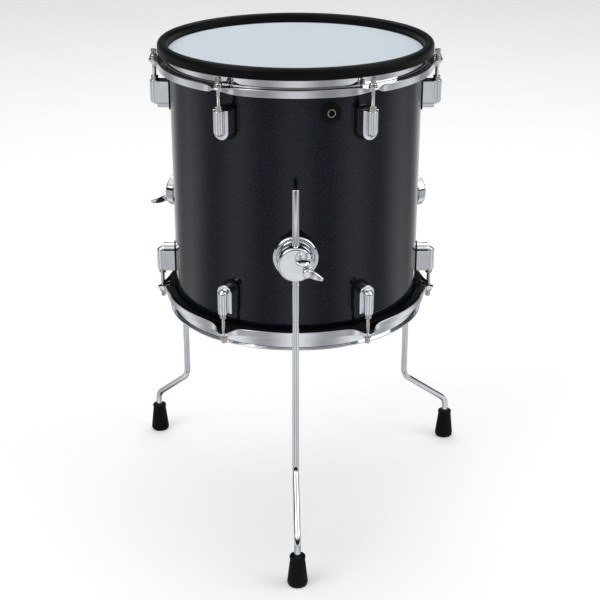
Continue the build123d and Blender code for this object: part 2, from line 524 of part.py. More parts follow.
WIRES = [wire((REAR * Pos(PLATE_R + 2, 0, BRIDGE_TOP_Z + PLATE_T)).position,
              (REAR * Pos(JACK_BACK, -4, JACK_Z)).position, 8.0),
         wire((AIM * Pos(RIM_SENSOR_POS, -BRIDGE_W / 2 - 4, BRIDGE_TOP_Z + 4)).position,
              (REAR * Pos(JACK_BACK, 4, JACK_Z)).position, 8.0)]
save("sensor_wiring", *WIRES)
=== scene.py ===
"""A three-legged electronic floor tom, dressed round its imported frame."""
import json
import logging
import math
from dataclasses import dataclass
from enum import Enum

import bpy
import numpy as np
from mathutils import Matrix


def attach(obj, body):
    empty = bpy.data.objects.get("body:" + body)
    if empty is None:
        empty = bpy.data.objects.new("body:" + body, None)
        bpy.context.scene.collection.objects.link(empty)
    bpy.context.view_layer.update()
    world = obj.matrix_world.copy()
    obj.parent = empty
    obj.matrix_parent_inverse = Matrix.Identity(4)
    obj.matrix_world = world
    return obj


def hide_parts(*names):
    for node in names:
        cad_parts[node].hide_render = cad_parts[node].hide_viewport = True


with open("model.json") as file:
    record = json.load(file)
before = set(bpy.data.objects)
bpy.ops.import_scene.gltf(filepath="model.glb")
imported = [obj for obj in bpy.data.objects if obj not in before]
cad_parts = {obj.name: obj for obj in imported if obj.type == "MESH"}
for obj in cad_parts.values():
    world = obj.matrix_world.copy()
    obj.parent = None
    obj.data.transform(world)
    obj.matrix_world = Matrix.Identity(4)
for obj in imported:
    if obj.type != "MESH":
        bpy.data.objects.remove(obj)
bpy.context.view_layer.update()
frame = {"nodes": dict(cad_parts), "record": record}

LOG = logging.getLogger("floor_tom")
Array = np.ndarray
Colour = tuple[float, float, float]
Socket = bpy.types.NodeSocket
AXIS = next(m["pos_m"] for m in frame["record"]["mounts"] if m["name"] == "playing_face")
FULL_TURN = 2 * math.pi
EASE = 0.00012          # a support point stands this far from the start of each rounded corner


# ---- surfaces ----------------------------------------------------------------

def unit(vectors: Array) -> Array:
    """Vectors shortened or stretched to length one, along the last axis."""
    return vectors / np.linalg.norm(vectors, axis=-1, keepdims=True)


def turn_steps(count: int) -> Array:
    """Angles that divide one full turn evenly, in radians."""
    return np.linspace(0.0, FULL_TURN, count, endpoint=False)


def arcs(corners: Array, radii: Array, steps: int) -> Array:
    """Arcs that round every corner of a closed outline.

    The two sides at a corner leave it along unit vectors a and b with an angle A between
    them. The arc's ends lie r / tan(A / 2) along each side, its centre r / sin(A / 2) along
    a + b, and its points turn evenly from one end to the other. One more point stands on the
    straight at each end of the arc.

    Args:
        corners: outline corners, shape (..., n, d).
        radii: one radius for each corner, in metres, which may differ from outline to outline.
        steps: points on each arc.

    Returns:
        Points of shape (..., n, steps + 2, d).
    """
    a = unit(np.roll(corners, 1, axis=-2) - corners)
    b = unit(np.roll(corners, -1, axis=-2) - corners)
    angle = np.arccos(np.clip((a * b).sum(axis=-1), -0.99999, 0.99999))[..., None]
    radii = np.asarray(radii)[..., None]
    reach = radii / np.tan(angle / 2)
    centre = corners + unit(a + b) * radii / np.sin(angle / 2)
    start, end = corners + a * reach - centre, corners + b * reach - centre
    turn = (math.pi - angle)[..., None, :]
    share = np.linspace(0.0, 1.0, steps)[:, None]
    arc = (np.sin((1 - share) * turn) * start[..., None, :]
           + np.sin(share * turn) * end[..., None, :]) / np.sin(turn)
    eased_in = (corners + a * (reach + EASE))[..., None, :]
    eased_out = (corners + b * (reach + EASE))[..., None, :]
    return np.concatenate([eased_in, centre[..., None, :] + arc, eased_out], axis=-2)


def rounded(corners: Array, radii: list[float] | Array, steps: int = 6) -> Array:
    """A closed outline with its corners rounded, as one run of points.

    Args:
        corners: outline corners, shape (..., n, d).
        radii: one radius for each corner, in metres.
        steps: points on each arc.

    Returns:
        Points of shape (..., m, d).
    """
    bent = arcs(np.asarray(corners, dtype=float), np.array(radii), steps)
    return bent.reshape(*bent.shape[:-3], -1, bent.shape[-1])


def bent_profile(rows: list[tuple[float, float, float]], steps: int, ring: bool = True) -> Array:
    """A rounded profile from rows of (radius, place along the axis, bend radius).

    Args:
        rows: the corners.
        steps: points on each arc.
        ring: False where the first and last corners lie next to the axis. Their outer points
            are then left out, so that the profile is open.

    Returns:
        Points of shape (m, 2).
    """
    table = np.array(rows)
    outline = rounded(table[:, :2], table[:, 2], steps)
    return outline if ring else outline[2:-2]


def outlines(count: int, *corners: tuple[float | Array, float | Array]) -> Array:
    """One outline for each column, of shape (count, n, 2), from numbers or arrays."""
    column = np.zeros(count)
    return np.stack([np.stack(np.broadcast_arrays(*corner, column)[:2], axis=-1)
                     for corner in corners], axis=1)


def rounded_path(corners: list[tuple[float, ...]], radius: float, steps: int) -> Array:
    """An open path whose inner corners are rounded and whose two ends stay where they are."""
    points = np.array(corners, dtype=float)
    bent = arcs(points, np.full(len(points), radius), steps)[1:-1]
    return np.concatenate([points[:1], bent.reshape(-1, points.shape[1]), points[-1:]])


@dataclass
class Skin:
    """A closed surface as whole arrays: points, four-sided faces and three-sided faces."""

    points: Array
    quads: Array
    tris: Array

    @classmethod
    def grid(cls, points: Array, ring: bool = False) -> "Skin":
        """A surface on a grid whose columns close on themselves.

        Args:
            points: grid of points, shape (rows, columns, 3).
            ring: True if the rows close too; otherwise the first and last rows are capped
                by fans about their own middles.

        Returns:
            The closed surface.
        """
        rows, columns = points.shape[:2]
        here = np.arange(rows * columns).reshape(rows, columns)
        right = np.roll(here, -1, axis=1)
        stop = rows if ring else rows - 1
        above, above_right = np.roll(here, -1, axis=0), np.roll(right, -1, axis=0)
        quads = np.stack([here[:stop], right[:stop], above_right[:stop], above[:stop]], axis=-1)
        flat = points.reshape(-1, 3)
        if ring:
            return cls(flat, quads.reshape(-1, 4), np.zeros((0, 3), int))
        middles = points[[0, -1]].mean(axis=1)
        first, last = np.full(columns, len(flat)), np.full(columns, len(flat) + 1)
        tris = np.concatenate([np.stack([first, right[0], here[0]], axis=-1),
                               np.stack([last, here[-1], right[-1]], axis=-1)])
        return cls(np.concatenate([flat, middles]), quads.reshape(-1, 4), tris)

    @classmethod
    def polar(cls, radius: Array, angle: Array, height: Array, ring: bool = False) -> "Skin":
        """A grid at x = r cos(t), y = r sin(t), z = height."""
        return cls.grid(np.stack([radius * np.cos(angle), radius * np.sin(angle), height], axis=-1), ring)

    def joined(self, *others: "Skin") -> "Skin":
        """This surface and others as one, each still closed."""
        skins = [self, *others]
        starts = np.cumsum([0] + [len(skin.points) for skin in skins[:-1]])
        return Skin(np.concatenate([skin.points for skin in skins]),
                    np.concatenate([skin.quads + start for skin, start in zip(skins, starts)]),
                    np.concatenate([skin.tris + start for skin, start in zip(skins, starts)]))

    def turned(self, angle: float) -> "Skin":
        """The surface turned about the drum axis by an angle in radians."""
        c, s = math.cos(angle), math.sin(angle)
        return Skin(self.points @ np.array([[c, s, 0], [-s, c, 0], [0, 0, 1]]),
                    self.quads, self.tris)

    def moved(self, x: float, y: float, z: float) -> "Skin":
        """The surface carried along by a step."""
        return Skin(self.points + np.array([x, y, z]), self.quads, self.tris)

    def flipped(self, middle: float) -> "Skin":
        """The mirror image below a height, with its faces still outward."""
        points = self.points * np.array([1, 1, -1]) + np.array([0, 0, 2 * middle])
        return Skin(points, self.quads[:, ::-1], self.tris[:, ::-1])

    def around(self, angles: Array) -> "Skin":
        """Copies at several angles about the drum axis, as one surface."""
        copies = [self.turned(angle) for angle in angles]
        return copies[0].joined(*copies[1:])

    def facing_out(self) -> "Skin":
        """The surface with its faces outward.

        A closed surface holds a sixth of the sum of p0 . (p1 x p2) over its triangles. If
        that comes out negative, the surface is inside out.
        """
        tris = np.concatenate([self.quads[:, [0, 1, 2]], self.quads[:, [0, 2, 3]], self.tris])
        p = self.points[tris] - self.points.mean(axis=0)
        if (p[:, 0] * np.cross(p[:, 1], p[:, 2])).sum() < 0:
            return Skin(self.points, self.quads[:, ::-1], self.tris[:, ::-1])
        return self

    def to_object(self, name: str, sharp_from: float = 40.0) -> bpy.types.Object:
        """Put the surface into a new object in the scene.

        Args:
            name: the object's name.
            sharp_from: edges that turn by more than this, in degrees, stay crisp.

        Returns:
            The object, with smooth faces.
        """
        mesh = bpy.data.meshes.new(name)
        mesh.from_pydata(self.points.tolist(), [], self.quads.tolist() + self.tris.tolist())
        mesh.shade_smooth()
        mesh.set_sharp_from_angle(angle=math.radians(sharp_from))
        mesh.update()
        piece = bpy.data.objects.new(name, mesh)
        bpy.context.scene.collection.objects.link(piece)
        return piece


def upright_lathe(profile: Array, steps: int, ring: bool = True) -> Skin:
    """A profile of (radius, height) turned about the drum axis.

    Args:
        profile: points of shape (n, 2), or (steps, n, 2) where it changes with the angle.
        steps: columns in one turn.
        ring: True where the profile is a closed loop, False where both ends meet the axis.

    Returns:
        The closed surface.
    """
    profile = np.broadcast_to(profile, (steps, *profile.shape[-2:])).transpose(1, 0, 2)
    return Skin.polar(profile[..., 0], turn_steps(steps), profile[..., 1], ring)


def spoke_lathe(profile: Array, steps: int, y: float, z: float, ring: bool = True) -> Skin:
    """A profile of (radius, distance from the drum axis) turned about a line that points out.

    Args:
        profile: points of shape (n, 2), or (steps, n, 2) where it changes with the angle.
        steps: columns in one turn.
        y: the line's distance to one side of the drum's axis.
        z: the line's height.
        ring: True where the profile is a closed loop, False where both ends meet the line.

    Returns:
        The closed surface x = distance, y + r cos(t), z + r sin(t).
    """
    angle = turn_steps(steps)
    profile = np.broadcast_to(profile, (steps, *profile.shape[-2:])).transpose(1, 0, 2)
    radius, out = profile[..., 0], profile[..., 1]
    return Skin.grid(np.stack([out, y + radius * np.cos(angle), z + radius * np.sin(angle)], axis=-1),
                     ring)


def carried(path: Array, sections: Array, side: tuple[float, float, float]) -> Skin:
    """Flat sections carried along a path, and capped at both ends.

    The path's direction T comes from its own differences. N is the side vector less its part
    along T, and B is T x N. A section point (a, b) lands at path + a N + b B.

    Args:
        path: points of shape (n, 3).
        sections: section points of shape (n, m, 2).
        side: the direction in which a section's first coordinate points.

    Returns:
        The closed surface.
    """
    along = unit(np.gradient(path, axis=0))
    across = np.array(side) - along * (along @ np.array(side))[:, None]
    across = unit(across)
    other = np.cross(along, across)
    points = (path[:, None, :] + sections[..., :1] * across[:, None, :]
              + sections[..., 1:] * other[:, None, :])
    return Skin.grid(points)


def on_shell(radius: float, out: float, columns: int) -> Array:
    """Distance from the drum axis, round a circle that lies on a cylinder.

    At sideways distance y a cylinder of radius R is sqrt(R^2 - y^2) from the middle plane.
    """
    return np.sqrt(out ** 2 - (radius * np.cos(turn_steps(columns))) ** 2)


def shell_disc(hole: float, edge: float, inner: float, outer: float, columns: int) -> Array:
    """Outlines of a round pad with a hole, whose two faces follow the shell."""
    ends = ((hole, inner), (edge, inner), (edge, outer), (hole, outer))
    return outlines(columns, *((radius, on_shell(radius, out, columns)) for radius, out in ends))


def soft_min(a: Array, b: Array, sharpness: float) -> Array:
    """The smaller of two fields, blended where they cross: -log(exp(-ka) + exp(-kb)) / k."""
    return -np.logaddexp(-sharpness * a, -sharpness * b) / sharpness


# ---- finishes ----------------------------------------------------------------

class Wiring:
    """Adds and joins the nodes of one node tree."""

    def __init__(self, tree: bpy.types.NodeTree) -> None:
        """Start with an empty tree."""
        self.tree = tree
        tree.nodes.clear()

    def feed(self, socket: Socket, value: object) -> None:
        """Link an output to an input, or set the input's own value."""
        if isinstance(value, bpy.types.NodeSocket):
            self.tree.links.new(value, socket)
        else:
            socket.default_value = value

    def add(self, kind: str, settings: dict[str, object] | None = None,
            **inputs: object) -> bpy.types.Node:
        """Add a node.

        Args:
            kind: the node's type name.
            settings: properties of the node itself.
            **inputs: a value or an output socket for each input, named with _ for a space.

        Returns:
            The node.
        """
        node = self.tree.nodes.new(kind)
        for key, value in (settings or {}).items():
            setattr(node, key, value)
        for key, value in inputs.items():
            self.feed(node.inputs[key.replace("_", " ")], value)
        return node

    def step(self, kind: str, first: object, second: object = 0.0) -> Socket:
        """One arithmetic step on two numbers, such as MULTIPLY or ABSOLUTE."""
        node = self.add("ShaderNodeMath", {"operation": kind})
        self.feed(node.inputs[0], first)
        self.feed(node.inputs[1], second)
        return node.outputs[0]

    def blend(self, share: object, low: object, high: object) -> Socket:
        """A colour between two others."""
        mix = self.add("ShaderNodeMix", {"data_type": "RGBA"})
        for index, value in ((0, share), (6, low), (7, high)):
            self.feed(mix.inputs[index], value)
        return mix.outputs[2]

    def spread(self, value: Socket, low: float, high: float, to_low: float, to_high: float) -> Socket:
        """A number carried from one range to another, and held inside it."""
        return self.add("ShaderNodeMapRange", None, Value=value, From_Min=low, From_Max=high,
                        To_Min=to_low, To_Max=to_high).outputs[0]


def opaque(colour: Colour) -> tuple[float, float, float, float]:
    """A colour with full alpha."""
    return (*colour, 1.0)


def group_tree(name: str, inputs: dict[str, float],
               outputs: tuple[str, ...]) -> bpy.types.NodeTree:
    """A new shader node group that takes a Vector and numbers, and gives numbers.

    Args:
        name: the group's name.
        inputs: each number input and its default.
        outputs: the outputs' names.

    Returns:
        The group.
    """
    tree = bpy.data.node_groups.new(name, "ShaderNodeTree")
    tree.interface.new_socket("Vector", in_out="INPUT", socket_type="NodeSocketVector")
    for key, value in inputs.items():
        socket = tree.interface.new_socket(key, in_out="INPUT", socket_type="NodeSocketFloat")
        socket.default_value = value
    for key in outputs:
        tree.interface.new_socket(key, in_out="OUTPUT", socket_type="NodeSocketFloat")
    return tree


def polish_marks() -> bpy.types.NodeTree:
    """The group for polished metal: cloudy haze, and fine wavy unevenness of the plating."""
    found = bpy.data.node_groups.get("polish_marks")
    if found:
        return found
    tree = group_tree("polish_marks", {"Clouds": 40.0, "Ripple": 260.0}, ("Haze", "Height"))
    wiring = Wiring(tree)
    given = wiring.add("NodeGroupInput")
    clouds = wiring.add("ShaderNodeTexNoise", None, Vector=given.outputs["Vector"],
                        Scale=given.outputs["Clouds"], Detail=6.0, Roughness=0.6)
    ripple = wiring.add("ShaderNodeTexNoise", None, Vector=given.outputs["Vector"],
                        Scale=given.outputs["Ripple"], Detail=3.0, Roughness=0.5)
    haze = wiring.spread(clouds.outputs["Fac"], 0.35, 0.7, 0.0, 1.0)
    wiring.add("NodeGroupOutput", None, Haze=haze, Height=ripple.outputs["Fac"])
    return tree


def moulded_grain() -> bpy.types.NodeTree:
    """The group for rubber and plastic: a pebbled grain and faint dusty patches."""
    found = bpy.data.node_groups.get("moulded_grain")
    if found:
        return found
    tree = group_tree("moulded_grain", {"Pebbles": 1500.0, "Patches": 14.0}, ("Dust", "Height"))
    wiring = Wiring(tree)
    given = wiring.add("NodeGroupInput")
    pebbles = wiring.add("ShaderNodeTexVoronoi", {"feature": "SMOOTH_F1"},
                         Vector=given.outputs["Vector"], Scale=given.outputs["Pebbles"])
    patches = wiring.add("ShaderNodeTexNoise", None, Vector=given.outputs["Vector"],
                         Scale=given.outputs["Patches"], Detail=8.0, Roughness=0.7)
    dust = wiring.spread(patches.outputs["Fac"], 0.42, 0.75, 0.0, 1.0)
    wiring.add("NodeGroupOutput", None, Dust=dust, Height=pebbles.outputs["Distance"])
    return tree


@dataclass(frozen=True)
class Finish:
    """What every finish has: a name, and a material made once and then shared."""

    name: str

    def material(self) -> bpy.types.Material:
        """The finish as a material."""
        found = bpy.data.materials.get(self.name)
        if found:
            return found
        material = bpy.data.materials.new(self.name)
        material.use_nodes = True
        wiring = Wiring(material.node_tree)
        place = wiring.add("ShaderNodeTexCoord").outputs["Object"]
        shader = self.wire(wiring, place)
        wiring.add("ShaderNodeOutputMaterial", None, Surface=shader.outputs[0])
        return material

    def wire(self, wiring: Wiring, place: Socket) -> bpy.types.Node:
        """Wire the finish up.

        Args:
            wiring: the material's nodes.
            place: Object coordinates, in metres.

        Returns:
            The shader.
        """
        raise NotImplementedError


@dataclass(frozen=True)
class Plating(Finish):
    """Polished plating on metal."""

    tint: Colour = (0.87, 0.90, 0.95)
    haze_tint: Colour = (0.79, 0.81, 0.85)
    smooth: float = 0.02
    dull: float = 0.06
    clouds: float = 40.0
    ripple: float = 260.0
    depth: float = 0.00002

    def wire(self, wiring: Wiring, place: Socket) -> bpy.types.Node:
        """Haze sets the tint and the roughness; ripple sets the bump."""
        marks = wiring.add("ShaderNodeGroup", {"node_tree": polish_marks()}, Vector=place,
                           Clouds=self.clouds, Ripple=self.ripple)
        haze = marks.outputs["Haze"]
        bump = wiring.add("ShaderNodeBump", None, Height=marks.outputs["Height"], Strength=0.35,
                          Distance=self.depth)
        return wiring.add("ShaderNodeBsdfPrincipled", None, Metallic=1.0,
                          Base_Color=wiring.blend(haze, opaque(self.tint), opaque(self.haze_tint)),
                          Roughness=wiring.spread(haze, 0.0, 1.0, self.smooth, self.dull),
                          Normal=bump.outputs[0])


@dataclass(frozen=True)
class Moulding(Finish):
    """Moulded rubber or plastic."""

    colour: Colour = (0.0022, 0.0025, 0.0031)
    dusty: Colour = (0.0050, 0.0053, 0.0060)
    smooth: float = 0.34
    dull: float = 0.48
    pebbles: float = 1500.0
    depth: float = 0.00006
    shine: float = 0.1

    def wire(self, wiring: Wiring, place: Socket) -> bpy.types.Node:
        """Dust sets the colour and the roughness; pebbles set the bump."""
        grain = wiring.add("ShaderNodeGroup", {"node_tree": moulded_grain()}, Vector=place,
                           Pebbles=self.pebbles)
        dust = grain.outputs["Dust"]
        bump = wiring.add("ShaderNodeBump", None, Height=grain.outputs["Height"], Strength=0.5,
                          Distance=self.depth)
        return wiring.add("ShaderNodeBsdfPrincipled", None, Specular_IOR_Level=self.shine,
                          Base_Color=wiring.blend(dust, opaque(self.colour), opaque(self.dusty)),
                          Roughness=wiring.spread(dust, 0.0, 1.0, self.smooth, self.dull),
                          Normal=bump.outputs[0])


@dataclass(frozen=True)
class SparkleLacquer(Finish):
    """Dark gloss lacquer over a bed of small bright flakes."""

    bed: Colour = (0.0010, 0.0024, 0.0062)
    flake: Colour = (0.016, 0.026, 0.050)
    flakes: float = 1500.0
    share: float = 0.7

    def wire(self, wiring: Wiring, place: Socket) -> bpy.types.Node:
        """Each cell of a Voronoi pattern is a flake, and only the brightest cells shine."""
        cells = wiring.add("ShaderNodeTexVoronoi", None, Vector=place, Scale=self.flakes, Randomness=1.0)
        lot = wiring.add("ShaderNodeSeparateColor", None, Color=cells.outputs["Color"]).outputs
        glint = wiring.spread(lot[0], self.share, 1.0, 0.0, 1.0)
        depth = wiring.add("ShaderNodeTexNoise", None, Vector=place, Scale=9.0, Detail=4.0)
        cloud = wiring.spread(depth.outputs["Fac"], 0.3, 0.7, 0.75, 1.0)
        bump = wiring.add("ShaderNodeBump", None, Height=lot[1], Strength=0.25, Distance=0.0001)
        return wiring.add("ShaderNodeBsdfPrincipled", None, Coat_Weight=1.0, Coat_Roughness=0.02,
                          Coat_IOR=1.36, Specular_IOR_Level=0.03, Normal=bump.outputs[0],
                          Base_Color=wiring.blend(wiring.step("MULTIPLY", glint, cloud),
                                                  opaque(self.bed), opaque(self.flake)),
                          Roughness=wiring.spread(lot[2], 0.0, 1.0, 0.3, 0.5))


@dataclass(frozen=True)
class WovenMesh(Finish):
    """Two layers of square woven mesh, stretched tight."""

    thread: Colour = (0.66, 0.73, 0.79)
    # gap: painted shade, the darker colour where the threads leave gaps
    gap: Colour = (0.45, 0.50, 0.55)
    pitch: float = 0.0008
    twill: float = 0.5

    def wire(self, wiring: Wiring, place: Socket) -> bpy.types.Node:
        """Threads are |sin| ridges along X and Y, and cross over and under each other.

        The height is the larger ridge, raised where the two sines have the same sign, so
        that every second crossing lies on top. The gaps are where both ridges are low, and
        their darker colour is painted shade between the threads.
        """
        axes = wiring.add("ShaderNodeSeparateXYZ", None, Vector=place).outputs
        waves = [wiring.step("SINE", wiring.step("MULTIPLY", axes[i], math.pi / self.pitch)) for i in (0, 1)]
        ridges = [wiring.step("ABSOLUTE", wave) for wave in waves]
        over = wiring.spread(wiring.step("MULTIPLY", *waves), -1.0, 1.0, 1.0 - self.twill, 1.0)
        height = wiring.step("MULTIPLY", wiring.step("MAXIMUM", *ridges), over)
        # Painted shade: where both ridges are low, between the threads, the mesh takes the darker gap
        # colour.
        thread_over_gap_shade = wiring.spread(wiring.step("MAXIMUM", *ridges), 0.25, 0.8, 0.0, 1.0)
        bump = wiring.add("ShaderNodeBump", None, Height=height, Strength=0.6, Distance=0.00015)
        soft = wiring.add("ShaderNodeTexNoise", None, Vector=place, Scale=6.0, Detail=3.0)
        shade = wiring.spread(soft.outputs["Fac"], 0.3, 0.7, 0.93, 1.0)
        return wiring.add("ShaderNodeBsdfPrincipled", None, Specular_IOR_Level=0.3, Sheen_Weight=0.15,
                          Base_Color=wiring.blend(wiring.step("MULTIPLY", thread_over_gap_shade, shade),
                                                  opaque(self.gap), opaque(self.thread)),
                          Roughness=wiring.spread(height, 0.0, 1.0, 0.75, 0.5), Normal=bump.outputs[0])


@dataclass(frozen=True)
class BirchPly(Finish):
    """Unfinished plywood with its grain running round the shell."""

    pale: Colour = (0.62, 0.46, 0.30)
    dark: Colour = (0.42, 0.28, 0.16)

    def wire(self, wiring: Wiring, place: Socket) -> bpy.types.Node:
        """Noise stretched sideways gives the figure, and the same noise gives the bump."""
        stretch = wiring.add("ShaderNodeMapping", None, Vector=place, Scale=(4.0, 4.0, 160.0))
        grain = wiring.add("ShaderNodeTexNoise", None, Vector=stretch.outputs[0], Scale=1.0, Detail=8.0)
        figure = wiring.spread(grain.outputs["Fac"], 0.35, 0.65, 0.0, 1.0)
        bump = wiring.add("ShaderNodeBump", None, Height=grain.outputs["Fac"], Strength=0.3, Distance=0.0002)
        return wiring.add("ShaderNodeBsdfPrincipled", None, Normal=bump.outputs[0],
                          Base_Color=wiring.blend(figure, opaque(self.pale), opaque(self.dark)),
                          Roughness=wiring.spread(figure, 0.0, 1.0, 0.55, 0.75))


FINISHES: dict[str, Finish] = {
    "chrome": Plating("polished_chrome"),
    "cast_chrome": Plating("chromed_casting", smooth=0.05, dull=0.13, clouds=70.0, ripple=180.0,
                           depth=0.00004),
    "leg_chrome": Plating("drawn_leg_chrome", clouds=18.0, ripple=120.0, depth=0.00003),
    "rod_steel": Plating("rod_chrome", (0.66, 0.64, 0.60), (0.50, 0.48, 0.44), 0.1, 0.22, 120.0, 500.0),
    "nickel": Plating("worn_nickel", (0.70, 0.66, 0.58), (0.52, 0.48, 0.41), 0.12, 0.3),
    "plated_steel": Plating("zinc_plate", (0.62, 0.62, 0.60), (0.45, 0.45, 0.44), 0.25, 0.45),
    "sensor_metal": Plating("sheet_alloy", (0.72, 0.72, 0.73), (0.60, 0.60, 0.61), 0.25, 0.4),
    "piezo": Plating("piezo_brass", (0.75, 0.58, 0.28), (0.60, 0.44, 0.20), 0.2, 0.4),
    "rim_rubber": Moulding("satin_rim_rubber"),
    "foot_rubber": Moulding("ribbed_foot_rubber", smooth=0.4, dull=0.58, shine=0.12),
    "gasket": Moulding("pad_rubber", (0.003, 0.003, 0.003), smooth=0.6, dull=0.8, shine=0.2),
    # Flesh hoops: near-black, which darkens the band between the shell and the hoop skirt.
    "flesh_metal": Moulding("black_enamel", (0.003, 0.003, 0.0033), smooth=0.3, dull=0.4, pebbles=600.0),
    "black_plastic": Moulding("moulded_black_plastic", (0.006, 0.006, 0.007), smooth=0.32, dull=0.45,
                              pebbles=3000.0),
    "nylon": Moulding("black_nylon", (0.02, 0.02, 0.021), smooth=0.4, dull=0.55, pebbles=2200.0),
    "film": Moulding("dark_film", (0.02, 0.02, 0.023), smooth=0.25, dull=0.38, pebbles=700.0),
    "foam": Moulding("grey_foam", (0.10, 0.10, 0.11), (0.16, 0.16, 0.17), 0.85, 0.95, 900.0, 0.0004),
    "sparkle_wrap": SparkleLacquer("sparkle_lacquer"),
    "mesh": WovenMesh("woven_mesh"),
    "wood_shell": BirchPly("birch_ply"),
}


def set_piece(name: str, skin: Skin, slot: str, body: str, nodes: tuple[str, ...]) -> None:
    """Place a finished surface in the scene, on its body, for the CAD nodes it stands for.

    Args:
        name: the piece's name.
        skin: the surface, drawn about the drum axis.
        slot: the record's material slot, which also names the finish.
        body: the body that it rides on.
        nodes: the CAD nodes that it stands for.
    """
    piece = skin.facing_out().moved(AXIS[0], AXIS[1], 0.0).to_object(name)
    piece.data.materials.append(FINISHES[slot].material())
    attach(piece, body)
    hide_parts(*nodes)
    LOG.info("%s: %d faces on %s", name, len(skin.quads) + len(skin.tris), body)


# ---- the drum's body ---------------------------------------------------------

MIDDLE = 0.5016         # the lower end mirrors the upper one about this height
ROUND = 256             # columns in one turn of a large round piece
NEAR_AXIS = 0.001       # where a profile starts and ends, before its fan closes it
SHARP = 0.00001         # the bend of a corner that stays sharp
LUG_ANGLES = turn_steps(6)


class End(Enum):
    """The drum's two ends."""

    TOP = "top"
    BOTTOM = "bottom"

    def place(self, skin: Skin) -> Skin:
        """A piece drawn for the upper end, moved to this end."""
        return skin if self is End.TOP else skin.flipped(MIDDLE)


@dataclass
class Shell:
    """The lacquered wrap round the plywood shell, and the two heads."""

    outer: float = 0.177
    inner: float = 0.1765
    wrap_low: float = 0.31825
    wrap_top: float = 0.68495
    head_top: float = 0.690
    film: float = 0.0008
    collar: float = 0.1789
    collar_low: float = 0.6655

    def wrap(self) -> Skin:
        """A thin ring: the profile is a tall narrow loop with softened corners."""
        return upright_lathe(bent_profile([
            (self.inner, self.wrap_low, 0.00008), (self.outer, self.wrap_low, 0.0002),
            (self.outer, self.wrap_top, 0.0002), (self.inner, self.wrap_top, 0.00008)], 4), ROUND)

    def head(self) -> Skin:
        """A flat film that folds down over the edge and runs straight to the flesh hoop."""
        low, inner = self.head_top - self.film, self.collar - self.film
        return upright_lathe(bent_profile([
            (NEAR_AXIS, self.head_top, SHARP), (self.collar, self.head_top, 0.0022),
            (self.collar, self.collar_low, 0.0002), (inner, self.collar_low, 0.0002),
            (inner, low, 0.0015), (NEAR_AXIS, low, SHARP)], 8, ring=False), ROUND, ring=False)

    def build(self) -> None:
        """Make the wrap and both heads."""
        set_piece("lacquered_wrap", self.wrap(), "sparkle_wrap", "drum", ("shell_wrap",))
        set_piece("striking_mesh", self.head(), "mesh", "drum", ("mesh_head",))
        set_piece("lower_film", End.BOTTOM.place(self.head()), "film", "drum", ("bottom_head",))


@dataclass
class Hoop:
    """A pressed steel hoop and the rubber cover on the upper one."""

    thickness: float = 0.0023
    wall: float = 0.183
    lip: float = 0.187
    skirt: float = 0.1921
    skirt_low: float = 0.6646
    flange: float = 0.675
    rim: float = 0.6937
    ear_reach: float = 0.0139
    ear_width: float = 0.0125
    arch: float = 0.0115
    crown_gap: float = 0.0004
    lean: float = 0.0002
    columns: int = 768
    crowding: float = 0.6
    cover_inner: float = 0.1794
    cover_outer: float = 0.1929
    cover_low: float = 0.6874
    cover_top: float = 0.703
    cover_foot: float = 0.6885

    def angles(self) -> Array:
        """Column angles u - c sin(n u) / n, which crowd together at the n rods."""
        even = turn_steps(self.columns)
        rods = len(LUG_ANGLES)
        return even - self.crowding * np.sin(rods * even) / rods

    def off_rod(self) -> Array:
        """How far each column stands from the nearest rod, along the skirt."""
        spacing = FULL_TURN / len(LUG_ANGLES)
        return np.abs((self.angles() + spacing / 2) % spacing - spacing / 2) * self.skirt

    def steel(self) -> Skin:
        """The hoop's section at each column: lip, wall, flange and skirt.

        With s the distance from the nearest rod, an ear reaches out by e / (1 + (s / w) ^ 3).
        The skirt's lower edge rises under it as a soft arch, by d / (1 + (s / a) ^ 3) with d
        the skirt's depth, and its crown all but touches the flange. The skirt and the flange
        lean a little, and the bends at the free edge tighten where the skirt is shallow.
        """
        off = self.off_rod()
        edge = self.skirt + self.ear_reach / (1 + (off / self.ear_width) ** 3)
        inner, shelf, under = (top - self.thickness for top in (self.wall, self.rim, self.flange))
        depth = under - self.crown_gap - self.skirt_low
        low = self.skirt_low + depth / (1 + (off / self.arch) ** 3)
        lean = self.lean
        corners = outlines(
            self.columns, (inner, self.rim), (self.lip, self.rim), (self.lip, shelf), (self.wall, shelf),
            (self.wall, self.flange + lean), (edge, self.flange - lean), (edge + lean, low),
            (edge - self.thickness + lean, low), (edge - self.thickness, under - lean / 2),
            (inner, under))
        bends = np.tile([0.001, 0.0009, 0.0009, 0.0006, 0.0008, 0.0012, 0.0009, 0.0009, 0.0008, 0.0009],
                        (self.columns, 1))
        bends[:, 6:9] *= 0.9 * np.clip((under - low) / 0.004, 0.1, 1.0)[:, None]
        profile = rounded(corners, bends).transpose(1, 0, 2)
        return Skin.polar(profile[..., 0], self.angles(), profile[..., 1], ring=True)

    def cover(self) -> Skin:
        """The rubber cover: a full round crown, straight sides and a groove for the lip."""
        gap = 0.0001
        groove, low_lip = self.wall - self.thickness - gap, self.rim - self.thickness - gap
        return upright_lathe(bent_profile([
            (self.cover_inner, self.cover_top, 0.0065), (self.cover_outer, self.cover_top, 0.0065),
            (self.cover_outer, self.cover_low, 0.0011), (self.wall + gap, self.cover_low, 0.0004),
            (self.wall + gap, low_lip, 0.0002), (self.lip + gap, low_lip, 0.0002),
            (self.lip + gap, self.rim + gap, 0.0002), (groove, self.rim + gap, 0.0002),
            (groove, self.cover_foot, 0.0003), (self.cover_inner, self.cover_foot, 0.0006)], 9), ROUND)

    def build(self) -> None:
        """Make both hoops and the cover."""
        for end in End:
            set_piece(f"pressed_hoop_{end.value}", end.place(self.steel()), "chrome", "drum",
                      (f"{end.value}_hoop",))
        set_piece("rim_cover", self.cover(), "rim_rubber", "drum", ("hoop_rubber",))


